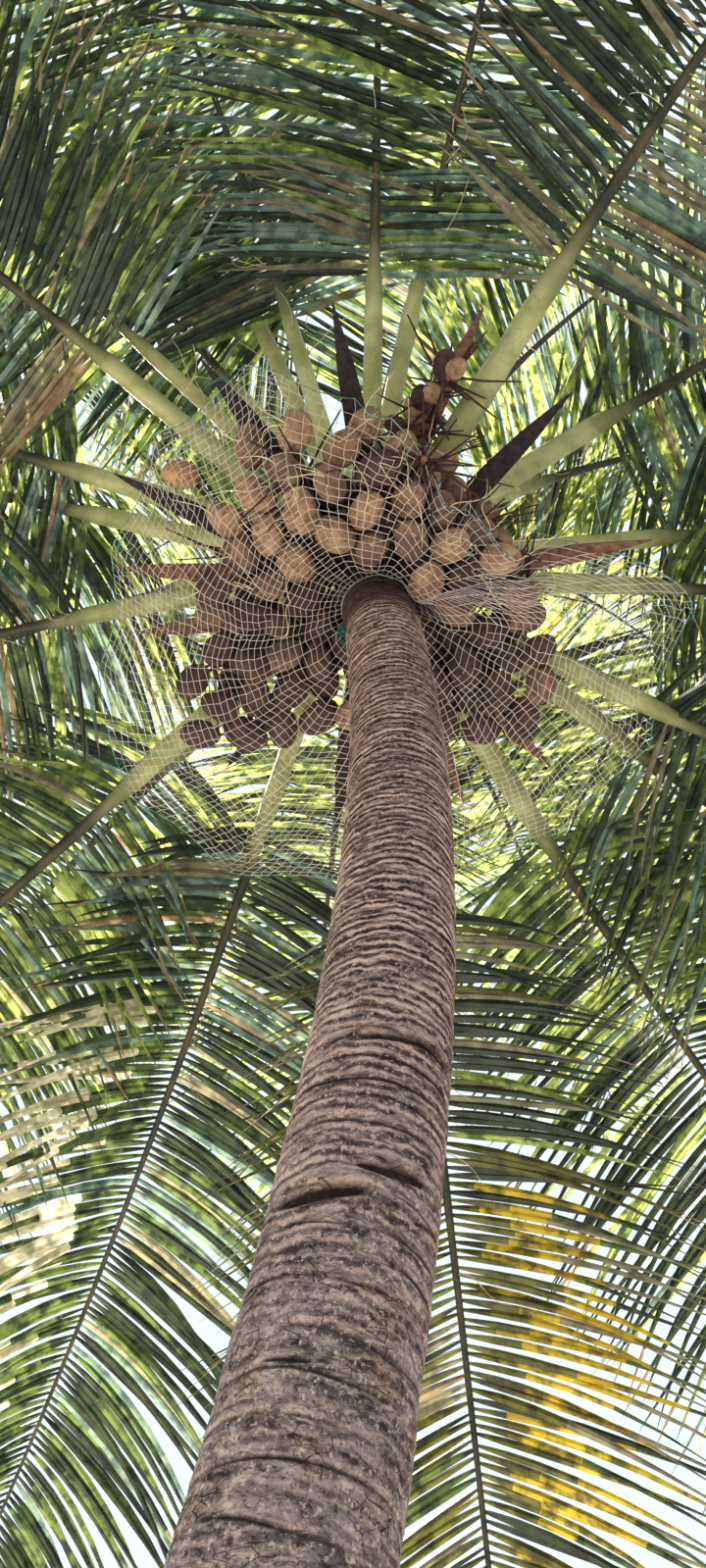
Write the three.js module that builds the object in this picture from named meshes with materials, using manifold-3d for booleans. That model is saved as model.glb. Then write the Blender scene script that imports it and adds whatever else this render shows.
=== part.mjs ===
// A coconut palm in fruit, in millimetres, with +Z up. The origin is the middle of the trunk's flat
// cut at ground level. The trunk leans along +X and stands upright again under the crown. Azimuths
// are in degrees about +Z from +X, and elevations are in degrees above level.

import * as THREE from "three";
import { mergeVertices } from "three/addons/utils/BufferGeometryUtils.js";
import Module from "manifold-3d";

const wasm = await Module();
wasm.setup();

// Trunk: its middle line is a quarter sine wave, its radius a straight taper with a swollen foot.
const TRUNK_LEAN = 880;
const TRUNK_LEAN_HEIGHT = 5000;
const TRUNK_TOP = 6960;
const TRUNK_SIDES = 16;
const TRUNK_RINGS = 30;
const TRUNK_RING_POWER = 1.1;
const TRUNK_FOOT_RADIUS = 214;
const TRUNK_NECK_RADIUS = 148;
const TRUNK_NECK_HEIGHT = 6150;
const TRUNK_TOP_RADIUS = 52;
const TRUNK_TOP_POWER = 3;
const FOOT_SWELLING = 84;
const FOOT_SWELLING_HEIGHT = 340;
const END_LEVEL_SPAN = 600;

// Clearance between neighbouring solids that touch on the real plant.
const SEAT_GAP = 0.3;

// Frond: a three-sided rib, bare over the stalk, with pairs of leaflets as broad teeth beyond it.
const RIB_FOOT_WIDTH = 84;
const RIB_BASE_WIDTH = 120;
const RIB_BASE_SHARE = 0.06;
const RIB_STALK_WIDTH = 96;
const RIB_TIP_WIDTH = 16;
const RIB_TAPER_POWER = 0.28;
const RIB_DEPTH_SHARE = 0.62;
const RIB_FACE_SHARE = 0.4;
const RIB_SUNK = 30;
const STALK_SHARE = 0.23;
const STALK_STATIONS = [0, RIB_BASE_SHARE, 0.145];
const ARC_STEPS = 60;
const LEAFLET_PAIRS = 11;
const LEAFLET_FOOT_SHARE = 0.46;
const LEAFLET_HALF_WIDTH = 74;
const LEAFLET_NARROWING = 0.5;
const LEAFLET_KEEL = 0.02;
const LEAFLET_DROOP = 0.3;
const LEAFLET_ANGLE_FOOT = 84;
const LEAFLET_ANGLE_TIP = 42;
const LEAFLET_ANGLE_POWER = 2.2;

// Leaflets are longest near the middle of a frond and shortest at its tip: the longest, the share
// of it that every leaflet has, what the middle adds, where that peaks, and what the tip loses.
const LEAFLET_LENGTH = 1280;
const REACH_SHARE = 0.55;
const REACH_SWELL = 0.45;
const REACH_PEAK_POWER = 0.8;
const REACH_TIP_LOSS = 0.25;
const REACH_TIP_POWER = 4;
const FULL_FROND_LENGTH = 4800;

// How far a frond may roll on its rib, and how its leaflets lift as its own rise goes from low to
// high: drooping below the rib on the oldest, raised above it on the youngest.
const ROLL_RANGE = 14;
const LOWEST_RISE = -45;
const HIGHEST_RISE = 70;
const LOWEST_LIFT = -20;
const HIGHEST_LIFT = 14;
const LIFT_RANGE = 4;
const LEAFLET_CUTS = [1, 0.75, 0.5];
const LEAFLET_MARGIN = 5;
const SPLIT_BEND = 72;
const SPLIT_SHARE = Math.SQRT1_2;

// Fronds: foot is the height on the stem, rise the elevation there, tip the elevation at the far
// end, sweep how far the azimuth turns on the way, and girth scales the rib.
const FRONDS = [
  { azimuth: 112, foot: 6660, rise: -31, tip: -42, length: 5700, sweep: 12, girth: 0.85 },
  { azimuth: 81, foot: 6270, rise: -42, tip: -83, length: 5700, sweep: 0, girth: 0.88 },
  { azimuth: 53, foot: 6390, rise: -25, tip: -48, length: 5800, sweep: -21, girth: 0.95 },
  { azimuth: 145, foot: 6330, rise: -25, tip: -45, length: 5600, sweep: 0, girth: 0.95 },
  { azimuth: -141, foot: 6270, rise: 10, tip: -38, length: 5700, sweep: -4, girth: 0.8 },
  { azimuth: -56, foot: 6390, rise: 18, tip: -40, length: 5800, sweep: 0, girth: 1.05 },
  { azimuth: -1, foot: 6420, rise: 14, tip: -54, length: 5600, sweep: 0, girth: 0.88 },
  { azimuth: 17, foot: 6270, rise: -22, tip: -43, length: 5500, sweep: 0, girth: 0.88 },
  { azimuth: 7, foot: 6330, rise: 12, tip: -40, length: 5400, sweep: 0, girth: 0.88 },
  { azimuth: 168, foot: 6450, rise: 3, tip: -49, length: 5400, sweep: 0, girth: 0.88 },
  { azimuth: -165, foot: 6510, rise: 9, tip: -55, length: 5400, sweep: 5, girth: 0.88 },
  { azimuth: -22, foot: 6480, rise: 29, tip: -37, length: 5500, sweep: 0, girth: 1 },
  { azimuth: -123, foot: 6810, rise: 48, tip: -38, length: 5400, sweep: 0, girth: 0.78 },
  { azimuth: 27, foot: 6480, rise: -27, tip: -59, length: 5300, sweep: 0, girth: 0.88 },
  { azimuth: -136, foot: 6570, rise: 5, tip: -55, length: 5200, sweep: 0, girth: 0.6 },
  { azimuth: -174, foot: 6360, rise: 18, tip: -45, length: 5300, sweep: 0, girth: 0.88 },
  { azimuth: -89, foot: 6330, rise: 39, tip: -39, length: 5300, sweep: 0, girth: 0.78 },
  { azimuth: -113, foot: 6690, rise: 48, tip: -36, length: 5000, sweep: 0, girth: 0.78 },
  { azimuth: -76, foot: 6660, rise: 29, tip: -36, length: 5000, sweep: 0, girth: 0.78 },
  { azimuth: 100, foot: 6780, rise: 52, tip: -30, length: 5000, sweep: 0, girth: 0.8 },
  { azimuth: 40, foot: 6780, rise: 55, tip: -20, length: 4900, sweep: 0, girth: 0.8 },
  { azimuth: -25, foot: 6780, rise: 60, tip: -14, length: 4800, sweep: 0, girth: 0.8 },
  { azimuth: 138, foot: 6840, rise: 68, tip: 10, length: 4400, sweep: 0, girth: 0.75 },
  { azimuth: -146, foot: 6890, rise: 52, tip: -18, length: 4800, sweep: 0, girth: 0.75 },
  { azimuth: 68, foot: 6540, rise: 32, tip: -46, length: 5200, sweep: 0, girth: 0.88 },
  { azimuth: 132, foot: 6390, rise: 6, tip: -52, length: 5500, sweep: 0, girth: 0.88 },
  { azimuth: 95, foot: 6420, rise: 22, tip: -50, length: 5300, sweep: 0, girth: 0.88 },
  { azimuth: 152, foot: 6660, rise: 34, tip: -46, length: 5300, sweep: 0, girth: 0.88 },
  { azimuth: 2, foot: 6720, rise: 46, tip: -34, length: 5100, sweep: 0, girth: 0.88 },
  { azimuth: 45, foot: 6600, rise: 24, tip: -50, length: 5300, sweep: 0, girth: 0.88 },
  { azimuth: -62, foot: 6890, rise: 74, tip: 36, length: 3700, sweep: 0, girth: 0.7 },
  { azimuth: 168, foot: 6890, rise: 73, tip: 30, length: 3700, sweep: 0, girth: 0.62 },
];

// Spear: the unopened leaf on top of the stem.
const SPEAR_RADIUS = 38;
const SPEAR_LENGTH = 2300;
const SPEAR_SIDES = 5;
const SPEAR_WAIST = { share: 0.55, radius: 0.8 };
const SPEAR_NECK = { share: 0.9, radius: 0.35 };

// Fruit bunch: a stalk that droops from the stem, its nuts set round it by the golden angle, and
// the dry woody bract that once sheathed it, pointing out above.
const STALK_RADIUS = 24;
const STALK_SIDES = 5;
const STALK_RINGS = 6;
const STALK_TIP = -62;
const STALK_DROOP_POWER = 1.5;
const STALK_TAPER = 0.45;
const NUT_RADIUS = 71;
const NUT_HALF_LENGTH = 96;
const NUT_SIDES = 6;
const NUT_BANDS = 3;
const NUT_HANG = 0.2;
const NUT_FORWARD = 0.25;
const NUT_FIRST = 0.34;
const GOLDEN_ANGLE = 137.5;
const BRACT_LENGTH = 1050;
const BRACT_HALF_WIDTH = 58;
const BRACT_HALF_DEPTH = 16;
const BRACT_FOOT_WIDTH = 0.4;
const BRACT_BELLY = 0.55;

// Bunches: foot is the stalk's height on the stem, rise its elevation there, size scales the nuts,
// and bract and tilt are the bract's azimuth and elevation. The last bunch is a young one.
const BUNCHES = [
  { azimuth: -116, foot: 6200, rise: 4, reach: 640, nuts: 8, size: 1, bract: -126, tilt: 7 },
  { azimuth: -73, foot: 6210, rise: 8, reach: 600, nuts: 8, size: 1, bract: -100, tilt: 13 },
  { azimuth: -40, foot: 6200, rise: 4, reach: 460, nuts: 6, size: 1, bract: -43, tilt: 22 },
  { azimuth: -8, foot: 6210, rise: 0, reach: 600, nuts: 7, size: 0.96, bract: -16, tilt: -6 },
  { azimuth: 38, foot: 6190, rise: -4, reach: 620, nuts: 8, size: 1, bract: 47, tilt: -8 },
  { azimuth: 160, foot: 6200, rise: 0, reach: 680, nuts: 8, size: 1, bract: 163, tilt: 12 },
  { azimuth: -157, foot: 6190, rise: 0, reach: 560, nuts: 7, size: 0.96, bract: -153, tilt: -3 },
  { azimuth: -68, foot: 6545, rise: 18, reach: 900, nuts: 5, size: 0.7, bract: -66, tilt: 10 },
];

// Net: a lattice slung under the nuts, tied round the neck of the trunk, in four panels. Its inner
// strands bite into the trunk a little before they are cut clear of it. Its reach from the trunk
// and its edge's height are given at even steps of azimuth, from +X round by +Y.
const NET_PANELS = 4;
const NET_CELLS_ROUND = 3;
const NET_CELLS_OUT = 2;
const NET_TURN = 7;
const NET_STRAND = 9;
const NET_THICKNESS = 5;
const NET_TIE_HEIGHT = 6020;
const NET_BITE = 3;
const NET_SAG = 190;
const NET_MEAN_REACH = 1150;
const NET_REACHES = [1330, 1280, 1290, 1280, 1370, 1340, 1150, 1150, 1070, 800, 560, 620];
const NET_EDGES = [6050, 5740, 5780, 5780, 5760, 5740, 6080, 6250, 6300, 6300, 6300, 6250];

const { degToRad, lerp } = THREE.MathUtils;
const UP = new THREE.Vector3(0, 0, 1);

// A closed shell of triangles, with its corners shared.
class Shell {
  constructor() {
    this.corners = [];
    this.faces = [];
  }

  corner(point) {
    this.corners.push(point.x, point.y, point.z);
    return this.corners.length / 3 - 1;
  }

  ring(points) {
    return points.map((point) => this.corner(point));
  }

  face(a, b, c, flip = false) {
    this.faces.push(a, flip ? c : b, flip ? b : c);
  }

  quad(a, b, c, d, flip = false) {
    this.face(a, b, c, flip);
    this.face(a, c, d, flip);
  }

  // Rings run anticlockwise seen from the far end of the shell.
  wall(near, far) {
    for (let i = 0; i < near.length; i++) {
      const next = (i + 1) % near.length;
      this.quad(near[i], near[next], far[next], far[i]);
    }
  }

  cap(ring, atFarEnd) {
    for (let i = 1; i < ring.length - 1; i++) {
      this.face(ring[0], ring[i], ring[i + 1], !atFarEnd);
    }
  }

  cone(ring, tip, atFarEnd) {
    for (let i = 0; i < ring.length; i++) {
      this.face(ring[i], ring[(i + 1) % ring.length], tip, !atFarEnd);
    }
  }

  solid() {
    return solidOf(this.corners, this.faces);
  }
}

function solidOf(corners, faces) {
  const mesh = new wasm.Mesh({
    numProp: 3,
    vertProperties: new Float32Array(corners),
    triVerts: new Uint32Array(faces),
  });
  return new wasm.Manifold(mesh);
}

// A solid from a three.js shape whose corners are merged by place.
function solidFromGeometry(geometry) {
  const bare = geometry.clone();
  bare.deleteAttribute("normal");
  bare.deleteAttribute("uv");
  const merged = mergeVertices(bare, 0.01);
  return solidOf(merged.attributes.position.array, merged.index.array);
}

function loft(rings) {
  const shell = new Shell();
  const indexed = rings.map((ring) => shell.ring(ring));
  for (let i = 0; i < indexed.length - 1; i++) {
    shell.wall(indexed[i], indexed[i + 1]);
  }
  shell.cap(indexed[0], false);
  shell.cap(indexed[indexed.length - 1], true);
  return shell;
}

// The largest body of a solid: a cut can leave crumbs beside it.
function mainBody(solid) {
  const bodies = solid.decompose();
  return bodies.reduce((best, body) => (body.volume() > best.volume() ? body : best));
}

function direction(azimuth, elevation) {
  const a = degToRad(azimuth);
  const e = degToRad(elevation);
  return new THREE.Vector3(Math.cos(e) * Math.cos(a), Math.cos(e) * Math.sin(a), Math.sin(e));
}

// Seeded random numbers from 0 to 1.
function randomFrom(seed) {
  let state = seed * 2654435761 % 4294967296;
  return () => {
    state = (state * 1664525 + 1013904223) % 4294967296;
    return state / 4294967296;
  };
}

// Trunk

function trunkMiddle(height) {
  const x = TRUNK_LEAN * Math.sin((Math.PI / 2) * (height / TRUNK_LEAN_HEIGHT));
  return new THREE.Vector3(x, 0, height);
}

function trunkRadius(height) {
  const swelling = FOOT_SWELLING * Math.exp(-height / FOOT_SWELLING_HEIGHT);
  if (height < TRUNK_NECK_HEIGHT) {
    return lerp(TRUNK_FOOT_RADIUS, TRUNK_NECK_RADIUS, height / TRUNK_NECK_HEIGHT) + swelling;
  }
  const share = (height - TRUNK_NECK_HEIGHT) / (TRUNK_TOP - TRUNK_NECK_HEIGHT);
  return lerp(TRUNK_NECK_RADIUS, TRUNK_TOP_RADIUS, share ** TRUNK_TOP_POWER) + swelling;
}

// How far the trunk's rings tip from level: not at all at its two ends, square to its line between.
function trunkTilt(height) {
  const slope = TRUNK_LEAN * (Math.PI / 2 / TRUNK_LEAN_HEIGHT)
    * Math.cos((Math.PI / 2) * (height / TRUNK_LEAN_HEIGHT));
  const nearestEnd = Math.min(height, TRUNK_TOP - height);
  return Math.atan(slope) * Math.min(1, nearestEnd / END_LEVEL_SPAN);
}

function trunkShell(grow) {
  const rings = [];
  for (let i = 0; i <= TRUNK_RINGS; i++) {
    const height = TRUNK_TOP * (i / TRUNK_RINGS) ** TRUNK_RING_POWER;
    const middle = trunkMiddle(height);
    const tilt = trunkTilt(height);
    const across = new THREE.Vector3(Math.cos(tilt), 0, -Math.sin(tilt));
    const radius = trunkRadius(height) + grow / Math.cos(Math.PI / TRUNK_SIDES);
    const ring = [];
    for (let side = 0; side < TRUNK_SIDES; side++) {
      const turn = (side / TRUNK_SIDES) * 2 * Math.PI;
      const point = middle.clone().addScaledVector(across, radius * Math.cos(turn));
      point.y += radius * Math.sin(turn);
      ring.push(point);
    }
    rings.push(ring);
  }
  if (grow > 0) {
    rings[0].forEach((point) => { point.z -= grow; });
    rings[TRUNK_RINGS].forEach((point) => { point.z += grow; });
  }
  return loft(rings);
}

// Fronds

// The arc of a frond: places and directions at even steps along it.
function frondArc(frond) {
  const step = frond.length / ARC_STEPS;
  const start = trunkMiddle(frond.foot);
  const point = start.addScaledVector(direction(frond.azimuth, 0), trunkRadius(frond.foot) - RIB_SUNK);
  const arc = [];
  for (let i = 0; i <= ARC_STEPS; i++) {
    const share = i / ARC_STEPS;
    const heading = direction(
      frond.azimuth + frond.sweep * share ** 2,
      lerp(frond.rise, frond.tip, share ** 2),
    );
    arc.push({ point: point.clone(), heading });
    point.addScaledVector(heading, step);
  }
  return arc;
}

// Place, direction, left-hand side and upper side of the rib at a share of the frond's length.
function ribFrame(frond, share) {
  const steps = Math.min(share * ARC_STEPS, ARC_STEPS - 1e-6);
  const from = frond.arc[Math.floor(steps)];
  const to = frond.arc[Math.floor(steps) + 1];
  const part = steps - Math.floor(steps);
  const point = from.point.clone().lerp(to.point, part);
  const heading = from.heading.clone().lerp(to.heading, part).normalize();
  const left = UP.clone().cross(heading).normalize();
  const upper = heading.clone().cross(left);
  const roll = degToRad(frond.roll);
  return {
    point,
    heading,
    left: left.clone().multiplyScalar(Math.cos(roll)).addScaledVector(upper, Math.sin(roll)),
    upper: upper.clone().multiplyScalar(Math.cos(roll)).addScaledVector(left, -Math.sin(roll)),
  };
}

function ribWidth(frond, share) {
  if (share < RIB_BASE_SHARE) {
    return frond.girth * lerp(RIB_FOOT_WIDTH, RIB_BASE_WIDTH, share / RIB_BASE_SHARE);
  }
  if (share < STALK_SHARE) {
    const past = (share - RIB_BASE_SHARE) / (STALK_SHARE - RIB_BASE_SHARE);
    return frond.girth * lerp(RIB_BASE_WIDTH, RIB_STALK_WIDTH, past);
  }
  const beyond = (share - STALK_SHARE) / (1 - STALK_SHARE);
  return lerp(frond.girth * RIB_STALK_WIDTH, RIB_TIP_WIDTH, beyond ** RIB_TAPER_POWER);
}

// The rib's three corners: left and right of its flat upper face, and its keel.
function ribRing(frond, share, grow) {
  const frame = ribFrame(frond, share);
  const halfWidth = ribWidth(frond, share) / 2 + grow;
  const depth = ribWidth(frond, share) * RIB_DEPTH_SHARE;
  const corner = (sideways, upwards) => frame.point.clone()
    .addScaledVector(frame.left, sideways)
    .addScaledVector(frame.upper, upwards);
  return [
    corner(halfWidth, depth * RIB_FACE_SHARE + grow),
    corner(-halfWidth, depth * RIB_FACE_SHARE + grow),
    corner(0, -depth * (1 - RIB_FACE_SHARE) - grow),
  ];
}

// The rib's stations, and between which of them the leaflet pairs stand.
function frondStations() {
  const shares = [...STALK_STATIONS];
  const leafy = shares.map(() => false);
  const pitch = (1 - STALK_SHARE) / LEAFLET_PAIRS;
  for (let pair = 0; pair < LEAFLET_PAIRS; pair++) {
    const start = STALK_SHARE + pitch * pair;
    shares.push(start);
    leafy.push(true);
    shares.push(start + pitch * LEAFLET_FOOT_SHARE);
    leafy.push(false);
  }
  shares.push(1);
  return { shares, leafy };
}

function leafletReach(place) {
  const swell = REACH_SWELL * Math.sin(Math.PI * place ** REACH_PEAK_POWER);
  return LEAFLET_LENGTH * (REACH_SHARE + swell - REACH_TIP_LOSS * place ** REACH_TIP_POWER);
}

// The four outer corners of a leaflet: its two edges and keel at half length, and its tip. It
// droops least where the rib itself hangs.
function leafletCorners(frond, share, side, cut, grow) {
  const place = (share - STALK_SHARE) / (1 - STALK_SHARE);
  const frame = ribFrame(frond, share);
  const bend = place ** LEAFLET_ANGLE_POWER;
  const forward = degToRad(lerp(LEAFLET_ANGLE_FOOT, LEAFLET_ANGLE_TIP, bend));
  const lift = degToRad(frond.lift);
  const out = frame.left.clone().multiplyScalar(side * Math.cos(lift))
    .addScaledVector(frame.upper, Math.sin(lift));
  const along = frame.heading.clone().multiplyScalar(Math.cos(forward))
    .addScaledVector(out, Math.sin(forward));
  const breadth = frame.heading.clone().addScaledVector(along, -frame.heading.dot(along)).normalize();
  const length = leafletReach(place) * cut * frond.size;
  const halfWidth = LEAFLET_HALF_WIDTH * (1 - LEAFLET_NARROWING * place ** 2) + grow;
  const keel = new THREE.Vector3().crossVectors(along, breadth).multiplyScalar(side).normalize();
  const root = frame.point.clone().addScaledVector(out, ribWidth(frond, share) / 2);
  const droop = LEAFLET_DROOP * Math.hypot(frame.heading.x, frame.heading.y);
  const middle = root.clone().addScaledVector(along, length / 2);
  middle.z -= droop * length / 4;
  const tip = root.clone().addScaledVector(along, length + grow);
  tip.z -= droop * length;
  return {
    near: middle.clone().addScaledVector(breadth, -halfWidth),
    far: middle.clone().addScaledVector(breadth, halfWidth),
    keel: middle.clone().addScaledVector(keel, LEAFLET_KEEL * length + grow),
    tip,
  };
}

// A leaflet on a shell, from its foot's four corners on the rib: keel and edge at the near
// station, then edge and keel at the far one.
function addLeaflet(shell, foot, corners, side) {
  const [nearKeel, nearEdge, farEdge, farKeel] = foot;
  const near = shell.corner(corners.near);
  const far = shell.corner(corners.far);
  const keel = shell.corner(corners.keel);
  const tip = shell.corner(corners.tip);
  const flip = side < 0;
  shell.quad(nearKeel, nearEdge, near, keel, flip);
  shell.quad(nearEdge, farEdge, far, near, flip);
  shell.quad(farEdge, farKeel, keel, far, flip);
  shell.face(farKeel, nearKeel, keel, flip);
  shell.face(keel, near, tip, flip);
  shell.face(near, far, tip, flip);
  shell.face(far, keel, tip, flip);
}

function leafletFoot(nearRing, farRing, side) {
  const edge = side > 0 ? 0 : 1;
  return [nearRing[2], nearRing[edge], farRing[edge], farRing[2]];
}

// A leaflet alone as a closed solid, a little larger than life, to try it against its neighbours.
function trialLeaflet(frond, near, far, side, cut) {
  const shell = new Shell();
  const foot = leafletFoot(ribRing(frond, near, 0), ribRing(frond, far, 0), side);
  const indexed = shell.ring(foot);
  const corners = leafletCorners(frond, (near + far) / 2, side, cut, LEAFLET_MARGIN);
  addLeaflet(shell, indexed, corners, side);
  shell.quad(indexed[0], indexed[3], indexed[2], indexed[1], side < 0);
  return shell.solid();
}

// A stretch of a frond between two stations, with the leaflets that were kept.
function frondShell(frond, from, to) {
  const { shares, leafy } = frondStations();
  const shell = new Shell();
  const rings = [];
  for (let i = from; i <= to; i++) {
    const outerEnd = i === to && to < shares.length - 1;
    const share = shares[i] - (outerEnd ? SEAT_GAP / frond.length : 0);
    rings.push(shell.ring(ribRing(frond, share, 0)));
  }
  for (let i = from; i < to; i++) {
    const near = rings[i - from];
    const far = rings[i - from + 1];
    shell.quad(near[0], near[1], far[1], far[0]);
    for (const side of [1, -1]) {
      const foot = leafletFoot(near, far, side);
      const cut = leafy[i] ? frond.cuts[side > 0 ? "left" : "right"][i] : 0;
      if (cut > 0) {
        const share = (shares[i] + shares[i + 1]) / 2;
        addLeaflet(shell, foot, leafletCorners(frond, share, side, cut, 0), side);
      } else {
        shell.quad(foot[0], foot[1], foot[2], foot[3], side < 0);
      }
    }
  }
  shell.cap(rings[0], false);
  shell.cap(rings[rings.length - 1], true);
  return shell;
}

function ribTrial(frond) {
  const rings = frondStations().shares.map((share) => ribRing(frond, share, LEAFLET_MARGIN));
  return loft(rings).solid();
}

// Spear

function spearShell() {
  const shell = new Shell();
  const base = trunkMiddle(TRUNK_TOP);
  const ringAt = (height, radius) => {
    const ring = [];
    for (let side = 0; side < SPEAR_SIDES; side++) {
      const turn = (side / SPEAR_SIDES) * 2 * Math.PI;
      const z = base.z + SEAT_GAP + height;
      ring.push(new THREE.Vector3(base.x + radius * Math.cos(turn), radius * Math.sin(turn), z));
    }
    return shell.ring(ring);
  };
  const foot = ringAt(0, SPEAR_RADIUS);
  const waist = ringAt(SPEAR_LENGTH * SPEAR_WAIST.share, SPEAR_RADIUS * SPEAR_WAIST.radius);
  const neck = ringAt(SPEAR_LENGTH * SPEAR_NECK.share, SPEAR_RADIUS * SPEAR_NECK.radius);
  const tip = shell.corner(new THREE.Vector3(base.x, 0, base.z + SPEAR_LENGTH));
  shell.wall(foot, waist);
  shell.wall(waist, neck);
  shell.cap(foot, false);
  shell.cone(neck, tip, true);
  return shell;
}

// Fruit bunches

// Places and directions along a bunch's stalk, from inside the stem to its drooping end.
function stalkFrames(bunch) {
  const start = trunkMiddle(bunch.foot);
  const point = start.addScaledVector(direction(bunch.azimuth, 0), trunkRadius(bunch.foot) - RIB_SUNK);
  const frames = [];
  for (let i = 0; i <= STALK_RINGS; i++) {
    const share = i / STALK_RINGS;
    const heading = direction(bunch.azimuth, lerp(bunch.rise, STALK_TIP, share ** STALK_DROOP_POWER));
    frames.push({ point: point.clone(), heading });
    point.addScaledVector(heading, bunch.reach / STALK_RINGS);
  }
  return frames;
}

function stalkSolid(bunch) {
  const rings = stalkFrames(bunch).map((frame, i) => {
    const radius = STALK_RADIUS * (1 - STALK_TAPER * (i / STALK_RINGS));
    const left = UP.clone().cross(frame.heading).normalize();
    const upper = frame.heading.clone().cross(left);
    const ring = [];
    for (let side = 0; side < STALK_SIDES; side++) {
      const turn = (side / STALK_SIDES) * 2 * Math.PI;
      ring.push(frame.point.clone()
        .addScaledVector(left, radius * Math.cos(turn))
        .addScaledVector(upper, radius * Math.sin(turn)));
    }
    return ring;
  });
  return loft(rings).solid();
}

function nutSolid(bunch, index) {
  const frames = stalkFrames(bunch);
  const share = lerp(NUT_FIRST, 1, index / (bunch.nuts - 1)) * STALK_RINGS;
  const nearest = Math.min(Math.floor(share), STALK_RINGS - 1);
  const point = frames[nearest].point.clone().lerp(frames[nearest + 1].point, share - nearest);
  const heading = frames[nearest].heading;
  const left = UP.clone().cross(heading).normalize();
  const upper = heading.clone().cross(left);
  const turn = degToRad(GOLDEN_ANGLE * index + bunch.azimuth);
  const axis = left.multiplyScalar(Math.cos(turn)).addScaledVector(upper, Math.sin(turn));
  axis.addScaledVector(heading, NUT_FORWARD);
  axis.z -= NUT_HANG;
  axis.normalize();
  const nut = new THREE.SphereGeometry(1, NUT_SIDES, NUT_BANDS);
  nut.scale(NUT_RADIUS * bunch.size, NUT_HALF_LENGTH * bunch.size, NUT_RADIUS * bunch.size);
  nut.applyQuaternion(new THREE.Quaternion().setFromUnitVectors(new THREE.Vector3(0, 1, 0), axis));
  const place = point.addScaledVector(axis, NUT_HALF_LENGTH * bunch.size);
  nut.translate(place.x, place.y, place.z);
  return solidFromGeometry(nut);
}

// The bract: a slim boat-shaped blade, widest at its belly.
function bractSolid(bunch) {
  const shell = new Shell();
  const start = stalkFrames(bunch)[0].point;
  const heading = direction(bunch.bract, bunch.tilt);
  const left = UP.clone().cross(heading).normalize();
  const upper = heading.clone().cross(left);
  const ringAt = (share, widthShare) => {
    const middle = start.clone().addScaledVector(heading, BRACT_LENGTH * share);
    const corner = (sideways, upwards) => middle.clone()
      .addScaledVector(left, sideways * widthShare * BRACT_HALF_WIDTH)
      .addScaledVector(upper, upwards * BRACT_HALF_DEPTH);
    return shell.ring([corner(1, 0), corner(0, 1), corner(-1, 0), corner(0, -1)]);
  };
  const foot = ringAt(0, BRACT_FOOT_WIDTH);
  const belly = ringAt(BRACT_BELLY, 1);
  const tip = shell.corner(start.clone().addScaledVector(heading, BRACT_LENGTH));
  shell.wall(foot, belly);
  shell.cap(foot, false);
  shell.cone(belly, tip, true);
  return shell.solid();
}

function bunchSolid(bunch, grownTrunk, neighbours) {
  let solid = stalkSolid(bunch).add(bractSolid(bunch));
  for (let i = 0; i < bunch.nuts; i++) {
    const nut = nutSolid(bunch, i);
    if (!meets(nut, neighbours)) {
      solid = solid.add(nut);
    }
  }
  return mainBody(solid.subtract(grownTrunk));
}

// Net

// A value at an azimuth, eased between the values of a table at even steps of azimuth.
function roundTable(table, azimuth) {
  const place = (THREE.MathUtils.euclideanModulo(azimuth, 360) / 360) * table.length;
  const low = Math.floor(place) % table.length;
  const eased = (1 - Math.cos(Math.PI * (place - Math.floor(place)))) / 2;
  return lerp(table[low], table[(low + 1) % table.length], eased);
}

function netPoint(azimuth, share) {
  const middle = trunkMiddle(NET_TIE_HEIGHT);
  const halfCell = Math.PI / NET_PANELS / NET_CELLS_ROUND;
  const inner = (trunkRadius(NET_TIE_HEIGHT) - NET_BITE) / Math.cos(halfCell);
  const reach = lerp(inner, roundTable(NET_REACHES, azimuth), share);
  const place = middle.addScaledVector(direction(azimuth, 0), reach);
  const edge = roundTable(NET_EDGES, azimuth);
  place.z = lerp(NET_TIE_HEIGHT, edge, share ** 2) - NET_SAG * 4 * share * (1 - share);
  return place;
}

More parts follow.
